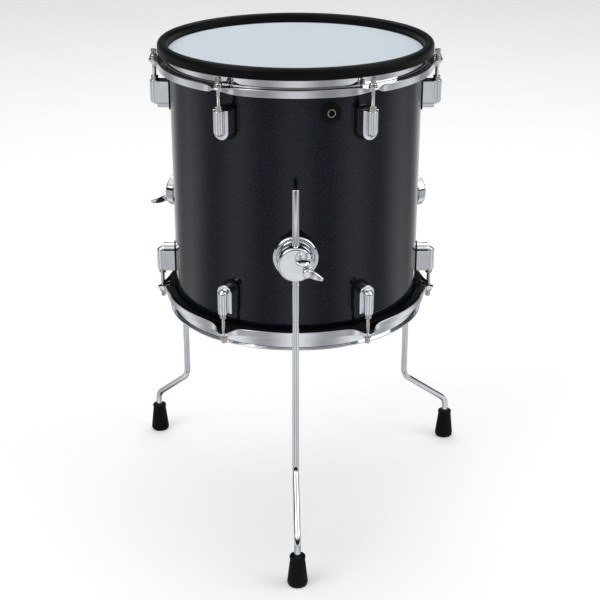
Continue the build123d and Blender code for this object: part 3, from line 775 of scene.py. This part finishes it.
@dataclass
class Lug:
    """A cast lug with its gasket, swivel nut and washer, repeated round each end."""

    low: float = 0.604
    top: float = 0.644
    back: float = 0.17903
    face: float = 0.1955
    half: float = 0.0115
    barrel: float = 0.0070
    front: float = 0.2057
    plate_edge: float = 0.0009
    rim_width: float = 0.0031
    groove: float = 0.0011
    barrel_low: float = 0.6085
    end_round: float = 0.0114
    rod_circle: float = 0.1985
    gasket_half: float = 0.0128
    gasket_low: float = 0.6014
    gasket_top: float = 0.6452
    gasket_inner: float = 0.17705
    gasket_outer: float = 0.17935

    def plate(self) -> Skin:
        """The body: a U-shaped outline drawn in step by step from the shell to the face.

        The outline has square corners at the open end and full round ones at the closed end.
        Each step has an inset and a distance from the drum axis: the side wall, the rounded
        edge, the raised rim, and the sunk floor that the barrel stands on.
        """
        turn = np.linspace(0.0, math.pi / 2, 6)
        edge = self.plate_edge
        inset = np.concatenate([[0.0, 0.0], edge * (1 - np.cos(turn)),
                                [self.rim_width, self.rim_width + 0.0002, self.rim_width + 0.0012]])
        sunk = self.face - self.groove
        out = np.concatenate([[self.back, self.face - edge - 0.0003],
                              self.face - edge + edge * np.sin(turn), [self.face, sunk, sunk]])
        half, low = self.half - inset, self.low + inset
        top = self.top - np.minimum(inset, edge)
        corners = outlines(len(half), (-half, top), (-half, low), (half, low), (half, top))
        ends = np.maximum(self.end_round - inset, 0.0005)
        small = np.full_like(ends, 0.0006)
        outline = rounded(corners, np.stack([small, ends, ends, small], axis=-1), 14)
        x = np.broadcast_to(out[:, None], outline.shape[:2])
        return Skin.grid(np.stack([x, outline[..., 0], outline[..., 1]], axis=-1))

    def barrel_skin(self) -> Skin:
        """The barrel: a round-fronted outline carried down, and domed at its closed end.

        With d the depth into the dome as a share of its height, the width shrinks as
        sqrt(1 - d^2), and the front draws back to the plate in the same way.
        """
        back, dome, nose = self.face - 0.004, self.barrel * 0.95, self.barrel * 0.97
        outline = bent_profile([(self.front, self.barrel, nose), (back, self.barrel, 0.0003),
                                (back, -self.barrel, 0.0003), (self.front, -self.barrel, nose)], 16)
        drops, widths = np.array([(0.0, 0.955), (0.0001, 0.975), (0.0003, 0.99), (0.0007, 1.0)]).T
        closing = np.sin(np.linspace(0.0, math.pi / 2 * 0.98, 18)[1:])
        straight = np.linspace(self.top - 0.002, self.barrel_low + dome, 8)
        heights = np.concatenate([self.top - drops, straight, self.barrel_low + dome * (1 - closing)])
        shrink = np.concatenate([widths, np.ones(len(straight)), np.sqrt(1 - closing ** 2)])[:, None]
        x = back + (outline[None, :, 0] - back) * shrink
        y = outline[None, :, 1] * shrink
        return Skin.grid(np.stack([x, y, np.broadcast_to(heights[:, None], x.shape)], axis=-1))

    def casting(self) -> Skin:
        """The whole lug: the plate with the barrel on it."""
        return self.plate().facing_out().joined(self.barrel_skin().facing_out())

    def gasket(self) -> Skin:
        """A pad on the cylinder: two arcs at each height, narrower towards the rounded end."""
        closing = np.sin(np.linspace(0.0, math.pi / 2 * 0.97, 14))
        heights = np.concatenate([[self.gasket_top], self.gasket_low + self.end_round * (1 - closing)])
        depth = np.concatenate([[0.0], closing])
        half = self.gasket_half - self.end_round * (1 - np.sqrt(1 - depth ** 2))
        share = np.linspace(-1.0, 1.0, 17)
        y = half[:, None] * np.concatenate([share, share[::-1]])[None, :]
        radius = np.repeat([self.gasket_inner, self.gasket_outer], len(share))
        x = np.sqrt(radius[None, :] ** 2 - y ** 2)
        return Skin.grid(np.stack([x, y, np.broadcast_to(heights[:, None], x.shape)], axis=-1))

    def nut(self) -> Skin:
        """The swivel nut: a waisted collar with a thin skirt that enters the lug."""
        bore, skirt, waist, collar = 0.00285, 0.0042, 0.0047, 0.0052
        return upright_lathe(bent_profile([
            (bore, 0.6220, 0.0002), (skirt, 0.6220, 0.0003), (skirt, 0.64405, 0.0002),
            (collar, 0.64405, 0.0005), (collar, 0.6472, 0.0002), (waist, 0.6476, 0.0001),
            (waist, 0.6482, 0.0001), (collar, 0.6486, 0.0002), (collar, 0.6505, 0.0007),
            (bore, 0.6505, 0.0003)], 4), 40).moved(self.rod_circle, 0, 0)

    def washer(self) -> Skin:
        """A flat washer with softened edges."""
        hole, edge, low, top = 0.0031, 0.0060, 0.6751, 0.67725
        return upright_lathe(bent_profile([(hole, low, 0.0002), (edge, low, 0.0005), (edge, top, 0.0005),
                                           (hole, top, 0.0002)], 4), 40).moved(self.rod_circle, 0, 0)

    def build(self) -> None:
        """Make the lugs at both ends, with their gaskets, nuts and washers."""
        for end in End:
            set_piece(f"cast_lugs_{end.value}", end.place(self.casting().around(LUG_ANGLES)),
                      "cast_chrome", "drum", (f"{end.value}_lugs",))
        for name, skin, slot, node in (("lug_pads", self.gasket(), "gasket", "lug_gaskets"),
                                       ("nut_collars", self.nut(), "rod_steel", "swivel_nuts"),
                                       ("flat_washers", self.washer(), "rod_steel", "rod_washers")):
            ring = skin.facing_out().around(LUG_ANGLES)
            set_piece(name, ring.joined(ring.flipped(MIDDLE)), slot, "drum", (node,))


@dataclass
class TensionRod:
    """A tension rod: square key head, flange, plain shank and rolled thread."""

    circle: float = 0.1985
    shank: float = 0.00275
    low: float = 0.628
    thread_low: float = 0.645
    thread_top: float = 0.663
    pitch: float = 0.0009
    crest: float = 0.00028
    flange: float = 0.0056
    flange_low: float = 0.67755
    square: float = 0.0032
    square_low: float = 0.680
    top: float = 0.688
    columns: int = 32

    def surface(self, twist: float) -> Skin:
        """One rod, as a radius over height z and angle t.

        The thread's radius is the shank's less a triangle wave of z / pitch - t / turn. The
        key head's radius is h / (|cos t|^p + |sin t|^p)^(1/p), which is a square with slightly
        rounded corners at p = 12.

        Args:
            twist: the key head's angle, in radians.

        Returns:
            The rod's surface.
        """
        angle = turn_steps(self.columns)
        thread = np.arange(self.thread_low, self.thread_top, self.pitch / 6)
        tip = np.array([(0.0020, self.low), (self.shank - self.crest, self.low + 0.0008)])
        shoulder = np.array([
            (self.shank, self.thread_top + 0.0006), (self.shank, self.flange_low - 0.0002),
            (self.shank + 0.0001, self.flange_low), (self.flange - 0.0004, self.flange_low),
            (self.flange, self.flange_low + 0.0003), (self.flange, self.flange_low + 0.0013),
            (self.flange - 0.0007, self.square_low - 0.0001), (self.square + 0.0006, self.square_low)])
        threaded = np.stack([np.full(len(thread), self.shank), thread], axis=-1)
        plain = np.concatenate([tip, threaded, shoulder])
        radius = np.repeat(plain[:, :1], self.columns, axis=1)
        phase = (thread[:, None] / self.pitch - angle[None, :] / FULL_TURN) % 1.0
        rows = slice(len(tip), len(tip) + len(thread))
        radius[rows] -= self.crest * np.abs(2 * phase - 1)
        power, faced = 12, angle + twist
        key = (np.abs(np.cos(faced)) ** power + np.abs(np.sin(faced)) ** power) ** (-1 / power)
        key_rows = np.array([(1.0, self.square_low + 0.0003), (1.0, self.top - 0.0010),
                             (0.97, self.top - 0.0005), (0.86, self.top - 0.0001), (0.80, self.top)])
        radius = np.concatenate([radius, self.square * key_rows[:, :1] * key[None, :]])
        height = np.concatenate([plain[:, 1], key_rows[:, 1]])[:, None] * np.ones(self.columns)
        return Skin.polar(radius, angle, height).moved(self.circle, 0, 0)

    def build(self) -> None:
        """Make a rod for each lug, with its key head at an angle of its own."""
        for end in End:
            for number, angle in enumerate(LUG_ANGLES, start=1):
                twist = math.radians(37.0 * number if end is End.TOP else 23.0 * number)
                node = f"{end.value}_rod_{number}"
                set_piece(f"key_rod_{end.value}_{number}", end.place(self.surface(twist)).turned(angle),
                          "rod_steel", node, (node,))


# ---- legs --------------------------------------------------------------------

class Side(Enum):
    """The three legs: where each bracket sits, and how far its leg is turned, in degrees."""

    FRONT = ("front", -90.0, 1.7)
    RIGHT = ("right", 30.0, 0.0)
    LEFT = ("left", 150.0, -20.0)

    @property
    def label(self) -> str:
        """The leg's name in the frame."""
        return self.value[0]

    @property
    def angle(self) -> float:
        """The bracket's angle about the drum axis, in radians."""
        return math.radians(self.value[1])

    @property
    def swivel(self) -> float:
        """The leg's turn from straight out, in radians."""
        return math.radians(self.value[2])


@dataclass
class Bracket:
    """A leg bracket: pad, dished base, scooped cap, wing bolt and nylon sleeve."""

    height: float = 0.447
    shell: float = 0.17705
    pad: float = 0.17855
    pad_radius: float = 0.031
    rim: float = 0.03075
    rim_inner: float = 0.02225
    crest: float = 0.191
    floor: float = 0.184
    seat_radius: float = 0.020
    seat_face: float = 0.2027
    rod: float = 0.203
    bolt_y: float = 0.015
    bolt_z: float = -0.009
    cap_radius: float = 0.0243
    cap_back: float = 0.2034
    cap_face: float = 0.2172
    cap_edge: float = 0.0036
    doming: float = 0.9
    notch: float = 0.0084
    scoop: float = 0.015
    scoop_out: float = 0.2276
    scoop_side: float = 0.0100
    hub: float = 0.0062
    hub_back: float = 0.2175
    hub_face: float = 0.2265
    columns: int = 144

    def pad_skin(self) -> Skin:
        """The thin pad, curved to the shell on both faces."""
        corners = shell_disc(0.004, self.pad_radius, self.shell, self.pad, self.columns)
        profile = rounded(corners, [0.0001, 0.0001, 0.0005, 0.0001], 4)
        return spoke_lathe(profile, self.columns, 0, self.height)

    def dish(self) -> Skin:
        """The base: a dish with a full round rim, whose back edge follows the shell."""
        corners = outlines(self.columns, (NEAR_AXIS, self.floor), (self.rim_inner, self.floor),
                           (self.rim_inner, self.crest), (self.rim, self.crest),
                           (self.rim, on_shell(self.rim, self.pad, self.columns)),
                           (NEAR_AXIS, on_shell(2 * NEAR_AXIS, self.pad, self.columns)))
        profile = rounded(corners, [SHARP, 0.002, 0.0040, 0.0042, 0.0004, SHARP], 9)[:, 2:-2]
        return spoke_lathe(profile, self.columns, 0, self.height, ring=False)

    def seat(self) -> Skin:
        """The inner half of the clamp: a round block with a groove for the sleeve.

        At sideways distance y the block is 2 sqrt(R^2 - y^2) tall. Its face stands at a set
        distance, or at the sleeve's axis less sqrt(g^2 - y^2) inside the groove.
        """
        groove = 0.00655
        inside = groove * np.sin(np.linspace(-math.pi / 2, math.pi / 2, 25))
        outside = np.linspace(groove, self.seat_radius * 0.995, 12)[1:]
        y = np.concatenate([-outside[::-1], inside, outside])
        face = np.minimum(self.seat_face, self.rod - np.sqrt(np.clip(groove ** 2 - y ** 2, 0, None)))
        tall = np.sqrt(self.seat_radius ** 2 - y ** 2)
        root = self.floor - 0.001
        corners = outlines(len(y), (root, -tall), (face, -tall), (face, tall), (root, tall))
        outline = rounded(corners, [0.0003, 0.0006, 0.0006, 0.0003], 4)
        y_grid = np.broadcast_to(y[:, None], outline.shape[:2])
        return Skin.grid(np.stack([outline[..., 0], y_grid, outline[..., 1] + self.height], axis=-1))

    def boss_and_pins(self) -> Skin:
        """The boss that the wing bolt screws into, and the two pins that guide the cap."""
        bore, wall, root = 0.00395, 0.0065, self.floor - 0.001
        boss = bent_profile([(bore, root, 0.0002), (wall, root, 0.0002), (wall, self.seat_face, 0.0006),
                             (bore, self.seat_face, 0.0003)], 4)
        pin = bent_profile([(0.0002, 0.2, 0.00002), (0.002, 0.2, 0.0002), (0.002, 0.209, 0.0006),
                            (0.0002, 0.209, 0.00002)], 4, ring=False)
        skin = spoke_lathe(boss, 48, self.bolt_y, self.height + self.bolt_z).facing_out()
        pins = [spoke_lathe(pin, 24, -self.bolt_y, self.height + z, ring=False).facing_out()
                for z in (-0.008, 0.008)]
        return skin.joined(*pins)

    def cap(self) -> Skin:
        """The cap: a domed disc with a rounded edge, a scoop, and a channel for the leg behind.

        The face stands at distance f less a low dome c r^2. A sphere centred in front cuts the
        scoop, and the two are blended by a soft minimum. The back stands at a set distance, or
        at sqrt(n^2 - y^2) beyond the leg's axis inside the channel.
        """
        face_rows, bend_rows, side_rows, back_rows = 40, 10, 6, 30
        front = face_rows + bend_rows
        edge = self.cap_radius - self.cap_edge
        turn = np.linspace(0.0, math.pi / 2, bend_rows + 1)
        radius = np.concatenate([
            np.linspace(0.0006, edge, face_rows), (edge + self.cap_edge * np.sin(turn))[1:],
            [self.cap_radius] * side_rows,
            self.cap_radius - 0.0004 - np.linspace(0, self.cap_radius - 0.001, back_rows)])
        drop = np.concatenate([np.zeros(face_rows), (self.cap_edge * (1 - np.cos(turn)))[1:],
                               np.zeros(side_rows + back_rows)])
        angle = turn_steps(self.columns)
        y, z = radius[:, None] * np.cos(angle), radius[:, None] * np.sin(angle)
        dome = self.cap_face + 0.0002 - self.doming * np.minimum(radius, edge)[:, None] ** 2
        off = (y - self.scoop_side) ** 2 + (z - self.scoop_side) ** 2
        sphere = self.scoop_out - np.sqrt(np.clip(self.scoop ** 2 - off, 0, None))
        face = soft_min(dome - drop[:, None], np.where(off < self.scoop ** 2, sphere, 1.0), 4000.0)
        back = np.maximum(self.cap_back, self.rod + np.sqrt(np.clip(self.notch ** 2 - y ** 2, 0, None)))
        share = np.concatenate([np.zeros(front), np.linspace(0.02, 0.98, side_rows),
                                np.ones(back_rows)])[:, None]
        out = face[front - 1] * (1 - share) + back * share
        out[:front] = face[:front]
        return Skin.grid(np.stack([out, y, z + self.height], axis=-1))

    def wing_bolt(self) -> Skin:
        """The bolt's shank and hub, and a lever that leaves it sideways and sweeps outward.

        The lever's line is a quadratic curve through its root, bend and tip. Its section is a
        superellipse |a|^n + |b|^n = 1 with n = 2.6, which narrows to the tip and closes there.
        """
        shank, shank_end, middle = 0.0039, 0.187, 0.0003
        hub = bent_profile([
            (middle, shank_end, 0.00002), (shank, shank_end, 0.0008), (shank, self.hub_back, 0.0002),
            (self.hub, self.hub_back, 0.0006), (self.hub, self.hub_face, 0.0022),
            (middle, self.hub_face, 0.00002)], 7, ring=False)
        core = spoke_lathe(hub, 64, self.bolt_y, self.height + self.bolt_z, ring=False).facing_out()
        root = np.array([self.hub_back + 0.0042, self.bolt_y - 0.001, self.bolt_z + 0.0012])
        bend = np.array([self.hub_back + 0.0048, self.bolt_y + 0.0120, self.bolt_z - 0.0030])
        tip = np.array([self.hub_back + 0.0180, self.bolt_y + 0.0208, self.bolt_z - 0.0038])
        t = np.sin(np.linspace(0.0, math.pi / 2, 44))[:, None]
        path = (1 - t) ** 2 * root + 2 * t * (1 - t) * bend + t ** 2 * tip
        blunt, power = 0.86, 2.6
        close = np.sqrt(np.clip(1 - np.clip((t - blunt) / 0.14, 0, 0.995) ** 2, 0, 1))
        thick = (0.0036 - 0.0021 * t) * close
        wide = (0.0058 + 0.0014 * t - 0.0048 * t ** 2) * close
        turn = turn_steps(36)
        a, b = (np.sign(wave) * np.abs(wave) ** (2 / power) for wave in (np.cos(turn), np.sin(turn)))
        sections = np.stack([thick * a, wide * b], axis=-1)
        lever = carried(path + np.array([0, 0, self.height]), sections, (1.0, 0.0, 0.0)).facing_out()
        return core.joined(lever)

    def sleeve(self) -> Skin:
        """The nylon sleeve: a tube with a collar at each end."""
        low, top, thick = self.height - 0.022, self.height + 0.022, 0.0017
        bore, collar, tube = 0.0048, 0.0081, 0.0065
        return upright_lathe(bent_profile([
            (bore, low, 0.0002), (collar, low, 0.0004), (collar, low + thick, 0.0004),
            (tube, low + thick, 0.0002), (tube, top - thick, 0.0002), (collar, top - thick, 0.0004),
            (collar, top, 0.0004), (bore, top, 0.0002)], 4), 64).moved(self.rod, 0, 0)

    def build(self) -> None:
        """Make the bracket at each leg, and all three pads as one piece."""
        pads = self.pad_skin().facing_out().around(np.array([side.angle for side in Side]))
        set_piece("bracket_gaskets", pads, "gasket", "drum", ("bracket_pads",))
        base = self.dish().facing_out().joined(self.seat().facing_out(), self.boss_and_pins())
        for side in Side:
            for name, skin, slot, body, node in (
                    ("cast_base", base, "cast_chrome", "drum", "bracket_base"),
                    ("scooped_cap", self.cap(), "cast_chrome", "cap_" + side.label, "bracket_cap"),
                    ("wing_lever", self.wing_bolt(), "cast_chrome", "wing_" + side.label, "wing_bolt"),
                    ("clamp_sleeve", self.sleeve(), "nylon", "sleeve_" + side.label, "leg_sleeve")):
                set_piece(f"{name}_{side.label}", skin.turned(side.angle), slot, body,
                          (f"{node}_{side.label}",))


@dataclass
class Leg:
    """A bent leg rod in a tapered rubber foot."""

    rod: float = 0.203
    radius: float = 0.00475
    top: float = 0.548
    bend: float = 0.133
    knee: float = 0.067
    end: float = 0.0123
    kick: float = 0.0864
    bend_radius: float = 0.024
    foot_height: float = 0.046
    ribs: int = 30

    def tube(self) -> Skin:
        """A round section carried down the bent path, with a softened top end."""
        path = rounded_path([(0, 0, self.top), (0, 0, self.bend), (self.kick, 0, self.knee),
                             (self.kick, 0, self.end)], self.bend_radius, 24)
        eased = np.array([0.0, 0.0003, 0.0007, 0.0013])
        tops = np.stack([0 * eased, 0 * eased, self.top - eased], axis=-1)
        path = np.concatenate([tops, path[1:]])
        scale = np.ones(len(path))
        scale[:4] = np.sqrt(1 - 0.5 * (1 - eased / eased[-1]) ** 2)
        turn = turn_steps(40)
        ring = np.stack([np.cos(turn), np.sin(turn)], axis=-1) * self.radius
        return carried(path, scale[:, None, None] * ring, (0.0, 1.0, 0.0))

    def foot(self) -> Skin:
        """A tapered foot: lip, ribbed side, chamfered tread, and a bore for the rod.

        The side's radius has a cosine ripple with one crest for each rib, which fades out
        towards the lip and the tread.
        """
        lip = self.foot_height - 0.004
        profile = bent_profile([
            (NEAR_AXIS, 0.0, 0.00002), (0.0130, 0.0, 0.0008), (0.0145, 0.0035, 0.0008),
            (0.0145, 0.0048, 0.0006), (0.0103, lip, 0.0004), (0.0110, lip + 0.0006, 0.0003),
            (0.0110, self.foot_height, 0.0012), (0.0048, self.foot_height, 0.0005),
            (0.0048, 0.012, 0.0003), (NEAR_AXIS, 0.012, 0.00002)], 6, ring=False)
        side = np.linspace((0.01425, 0.0072), (0.01055, lip - 0.0024), 14)
        split = int(np.argmax(profile[:, 1] > 0.02))
        profile = np.concatenate([profile[:split], side, profile[split:]])
        columns = self.ribs * 6
        profile = np.repeat(profile[None], columns, axis=0)
        height = profile[..., 1]
        rising = np.clip((height - 0.006) / 0.004, 0, 1) * np.clip((lip - 0.001 - height) / 0.004, 0, 1)
        outside = (profile[..., 0] > 0.0095) & (height < lip)
        wave = 0.5 + 0.5 * np.cos(self.ribs * turn_steps(columns))[:, None]
        profile[..., 0] -= 0.0003 * wave * rising * outside
        return upright_lathe(profile, columns, ring=False).moved(self.kick, 0, 0)

    def build(self) -> None:
        """Make the three legs and feet, each turned as it is set."""
        for side in Side:
            for name, skin, slot, node in (("bent_rod", self.tube(), "leg_chrome", "leg"),
                                           ("rubber_tip", self.foot(), "foot_rubber", "foot")):
                placed = skin.turned(side.swivel).moved(self.rod, 0, 0).turned(side.angle)
                set_piece(f"{name}_{side.label}", placed, slot, f"leg_{side.label}",
                          (f"{node}_{side.label}",))


@dataclass
class Jack:
    """The cable jack: round plate, knurled nut, and the socket behind them."""

    angle: float = math.radians(-75.0)
    height: float = 0.6408
    plate: float = 0.0145
    plate_face: float = 0.1783
    shell: float = 0.17705
    bush: float = 0.0042
    columns: int = 96

    def plate_skin(self) -> Skin:
        """A thin round plate, curved to the shell and softened at its edge."""
        corners = shell_disc(0.0047, self.plate, self.shell, self.plate_face, self.columns)
        profile = rounded(corners, [0.0001, 0.0001, 0.0007, 0.0002], 5)
        return spoke_lathe(profile, self.columns, 0, self.height)

    def nut(self) -> Skin:
        """The round nut, with fine knurling in its outer radius."""
        bore, edge, back, face = self.bush + 0.00005, 0.0056, 0.1787, 0.1800
        profile = bent_profile([(bore, back, 0.0001), (edge, back, 0.0003), (edge, face, 0.0005),
                                (bore, face, 0.0003)], 5)
        columns, teeth, tooth = 144, 36, 0.00012
        profile = np.repeat(profile[None], columns, axis=0)
        knurl = tooth * np.cos(teeth * turn_steps(columns))[:, None]
        profile[..., 0] += np.where(profile[..., 0] > 0.0053, knurl - tooth, 0.0)
        return spoke_lathe(profile, columns, 0, self.height)

    def build(self) -> None:
        """Make the plate and the nut; the socket keeps its CAD shape."""
        for name, skin, slot, node in (("jack_disc", self.plate_skin(), "black_plastic", "jack_plate"),
                                       ("jack_ring", self.nut(), "nickel", "jack_nut")):
            set_piece(name, skin.turned(self.angle), slot, "drum", (node,))


def dress_carried_nodes() -> None:
    """Give every CAD node its slot's finish; those that a piece stands for aren't shown."""
    slots = {part["node"]: part["material_slot"] for part in frame["record"]["subparts"]}
    for name, node in frame["nodes"].items():
        finish = FINISHES[slots[name]].material()
        if not node.material_slots:
            node.data.materials.append(finish)
        for holder in node.material_slots:
            holder.material = finish


# ---- studio ------------------------------------------------------------------

@dataclass
class Studio:
    """The pale floor, the soft lights and the camera."""

    lens: float = 79.66
    distance: float = 1.845
    camera_height: float = 1.0818
    tilt: float = math.radians(67.223)
    shift: float = 0.0072
    floor_half: float = 40.0
    floor_glow: float = 0.24
    backdrop: float = 0.64
    sheets: float = 7.0
    edge: float = 0.9
    sheet: float = 0.66
    gap: float = 0.30

    def floor(self) -> None:
        """A wide pale floor with a faint mottle.

        Shiny pieces see it as a set of pale sheets laid out in a ring, with dark gaps between
        them: (0.5 + 0.5 cos(n t)) over the angle t about the drum, pushed towards its ends.
        """
        half = self.floor_half
        mesh = bpy.data.meshes.new("studio_floor")
        mesh.from_pydata([(-half, -half, 0), (half, -half, 0), (half, half, 0), (-half, half, 0)], [],
                         [(0, 1, 2, 3)])
        floor = bpy.data.objects.new("studio_floor", mesh)
        bpy.context.scene.collection.objects.link(floor)
        material = bpy.data.materials.new("pale_floor")
        material.use_nodes = True
        wiring = Wiring(material.node_tree)
        place = wiring.add("ShaderNodeTexCoord").outputs["Object"]
        mottle = wiring.add("ShaderNodeTexNoise", None, Vector=place, Scale=1.5, Detail=3.0)
        pale = wiring.blend(mottle.outputs["Fac"], (0.91, 0.91, 0.91, 1), (0.93, 0.93, 0.93, 1))
        axes = wiring.add("ShaderNodeSeparateXYZ", None, Vector=place).outputs
        angle = wiring.step("ARCTAN2", wiring.step("SUBTRACT", axes[1], AXIS[1]),
                           wiring.step("SUBTRACT", axes[0], AXIS[0]))
        wave = wiring.step("SINE", wiring.step("MULTIPLY", angle, self.sheets))
        sheet = wiring.spread(wave, -self.edge, self.edge, self.gap, self.sheet)
        shown = wiring.add("ShaderNodeCombineColor", None, Red=sheet, Green=sheet, Blue=sheet)
        glossy = wiring.add("ShaderNodeLightPath").outputs["Is Glossy Ray"]
        colour = wiring.blend(glossy, pale, shown.outputs[0])
        shader = wiring.add("ShaderNodeBsdfPrincipled", None, Roughness=0.6, Specular_IOR_Level=0.2,
                            Base_Color=colour, Emission_Color=colour, Emission_Strength=self.floor_glow)
        wiring.add("ShaderNodeOutputMaterial", None, Surface=shader.outputs[0])
        mesh.materials.append(material)

    def surroundings(self) -> None:
        """A white room, which shiny pieces see with a dark band and a dimmer patch overhead.

        The brightness follows the height z of the direction on a unit sphere.
        """
        world = bpy.data.worlds.new("white_room")
        world.use_nodes = True
        wiring = Wiring(world.node_tree)
        axes = wiring.add("ShaderNodeSeparateXYZ", None,
                          Vector=wiring.add("ShaderNodeTexCoord").outputs["Generated"]).outputs
        band_start = wiring.spread(axes[2], 0.02, 0.10, 0.65, 0.02)
        band_end = wiring.spread(axes[2], 0.45, 0.7, 0.0, 0.85)
        overhead = wiring.spread(axes[2], 0.93, 0.99, 1.0, 0.3)
        level = wiring.step("MAXIMUM", band_start, wiring.step("MULTIPLY", band_end, overhead))
        direct = wiring.add("ShaderNodeLightPath").outputs["Is Camera Ray"]
        level = wiring.step("MAXIMUM", level, wiring.step("MULTIPLY", direct, self.backdrop))
        back = wiring.add("ShaderNodeBackground", None, Color=(1.0, 1.0, 1.0, 1.0), Strength=level)
        wiring.add("ShaderNodeOutputWorld", None, Surface=back.outputs[0])
        bpy.context.scene.world = world

    def light(self, name: str, place: tuple[float, float, float], size: float, power: float) -> None:
        """A square soft light, aimed at the drum.

        Args:
            name: the light's name.
            place: where it hangs, from the drum axis at floor level.
            size: the length of its sides, in metres.
            power: its power, in watts.
        """
        lamp = bpy.data.lights.new(name, "AREA")
        lamp.size, lamp.energy = size, power
        holder = bpy.data.objects.new(name, lamp)
        x, y, z = place
        holder.location = (AXIS[0] + x, AXIS[1] + y, z)
        reach = math.hypot(x, y)
        holder.rotation_euler = (math.atan2(reach, z - MIDDLE), 0.0, math.atan2(-x, y) + math.pi)
        bpy.context.scene.collection.objects.link(holder)

    def camera(self) -> None:
        """The camera, in front of the drum and looking down on it."""
        lens = bpy.data.cameras.new("main_camera")
        lens.lens, lens.sensor_width, lens.shift_x = self.lens, 36.0, self.shift
        holder = bpy.data.objects.new("main_camera", lens)
        holder.location = (AXIS[0], AXIS[1] - self.distance, self.camera_height)
        holder.rotation_euler = (self.tilt, 0.0, 0.0)
        bpy.context.scene.collection.objects.link(holder)
        bpy.context.scene.camera = holder

    def build(self) -> None:
        """Set the whole studio up."""
        self.floor()
        self.surroundings()
        self.light("key_light", (-2.2, -1.6, 2.6), 2.0, 31.0)
        self.light("fill_light", (2.4, -0.6, 2.0), 2.0, 22.0)
        self.light("top_light", (0.0, 1.6, 3.4), 3.0, 37.0)
        self.camera()
        bpy.context.scene.view_settings.view_transform = "Standard"


def main() -> None:
    """Build the drum and the studio."""
    logging.basicConfig(level=logging.INFO, format="%(name)s: %(message)s")
    dress_carried_nodes()
    for assembly in (Shell(), Hoop(), Lug(), TensionRod(), Bracket(), Leg(), Jack()):
        assembly.build()
    Studio().build()


if __name__ == "__main__":
    main()
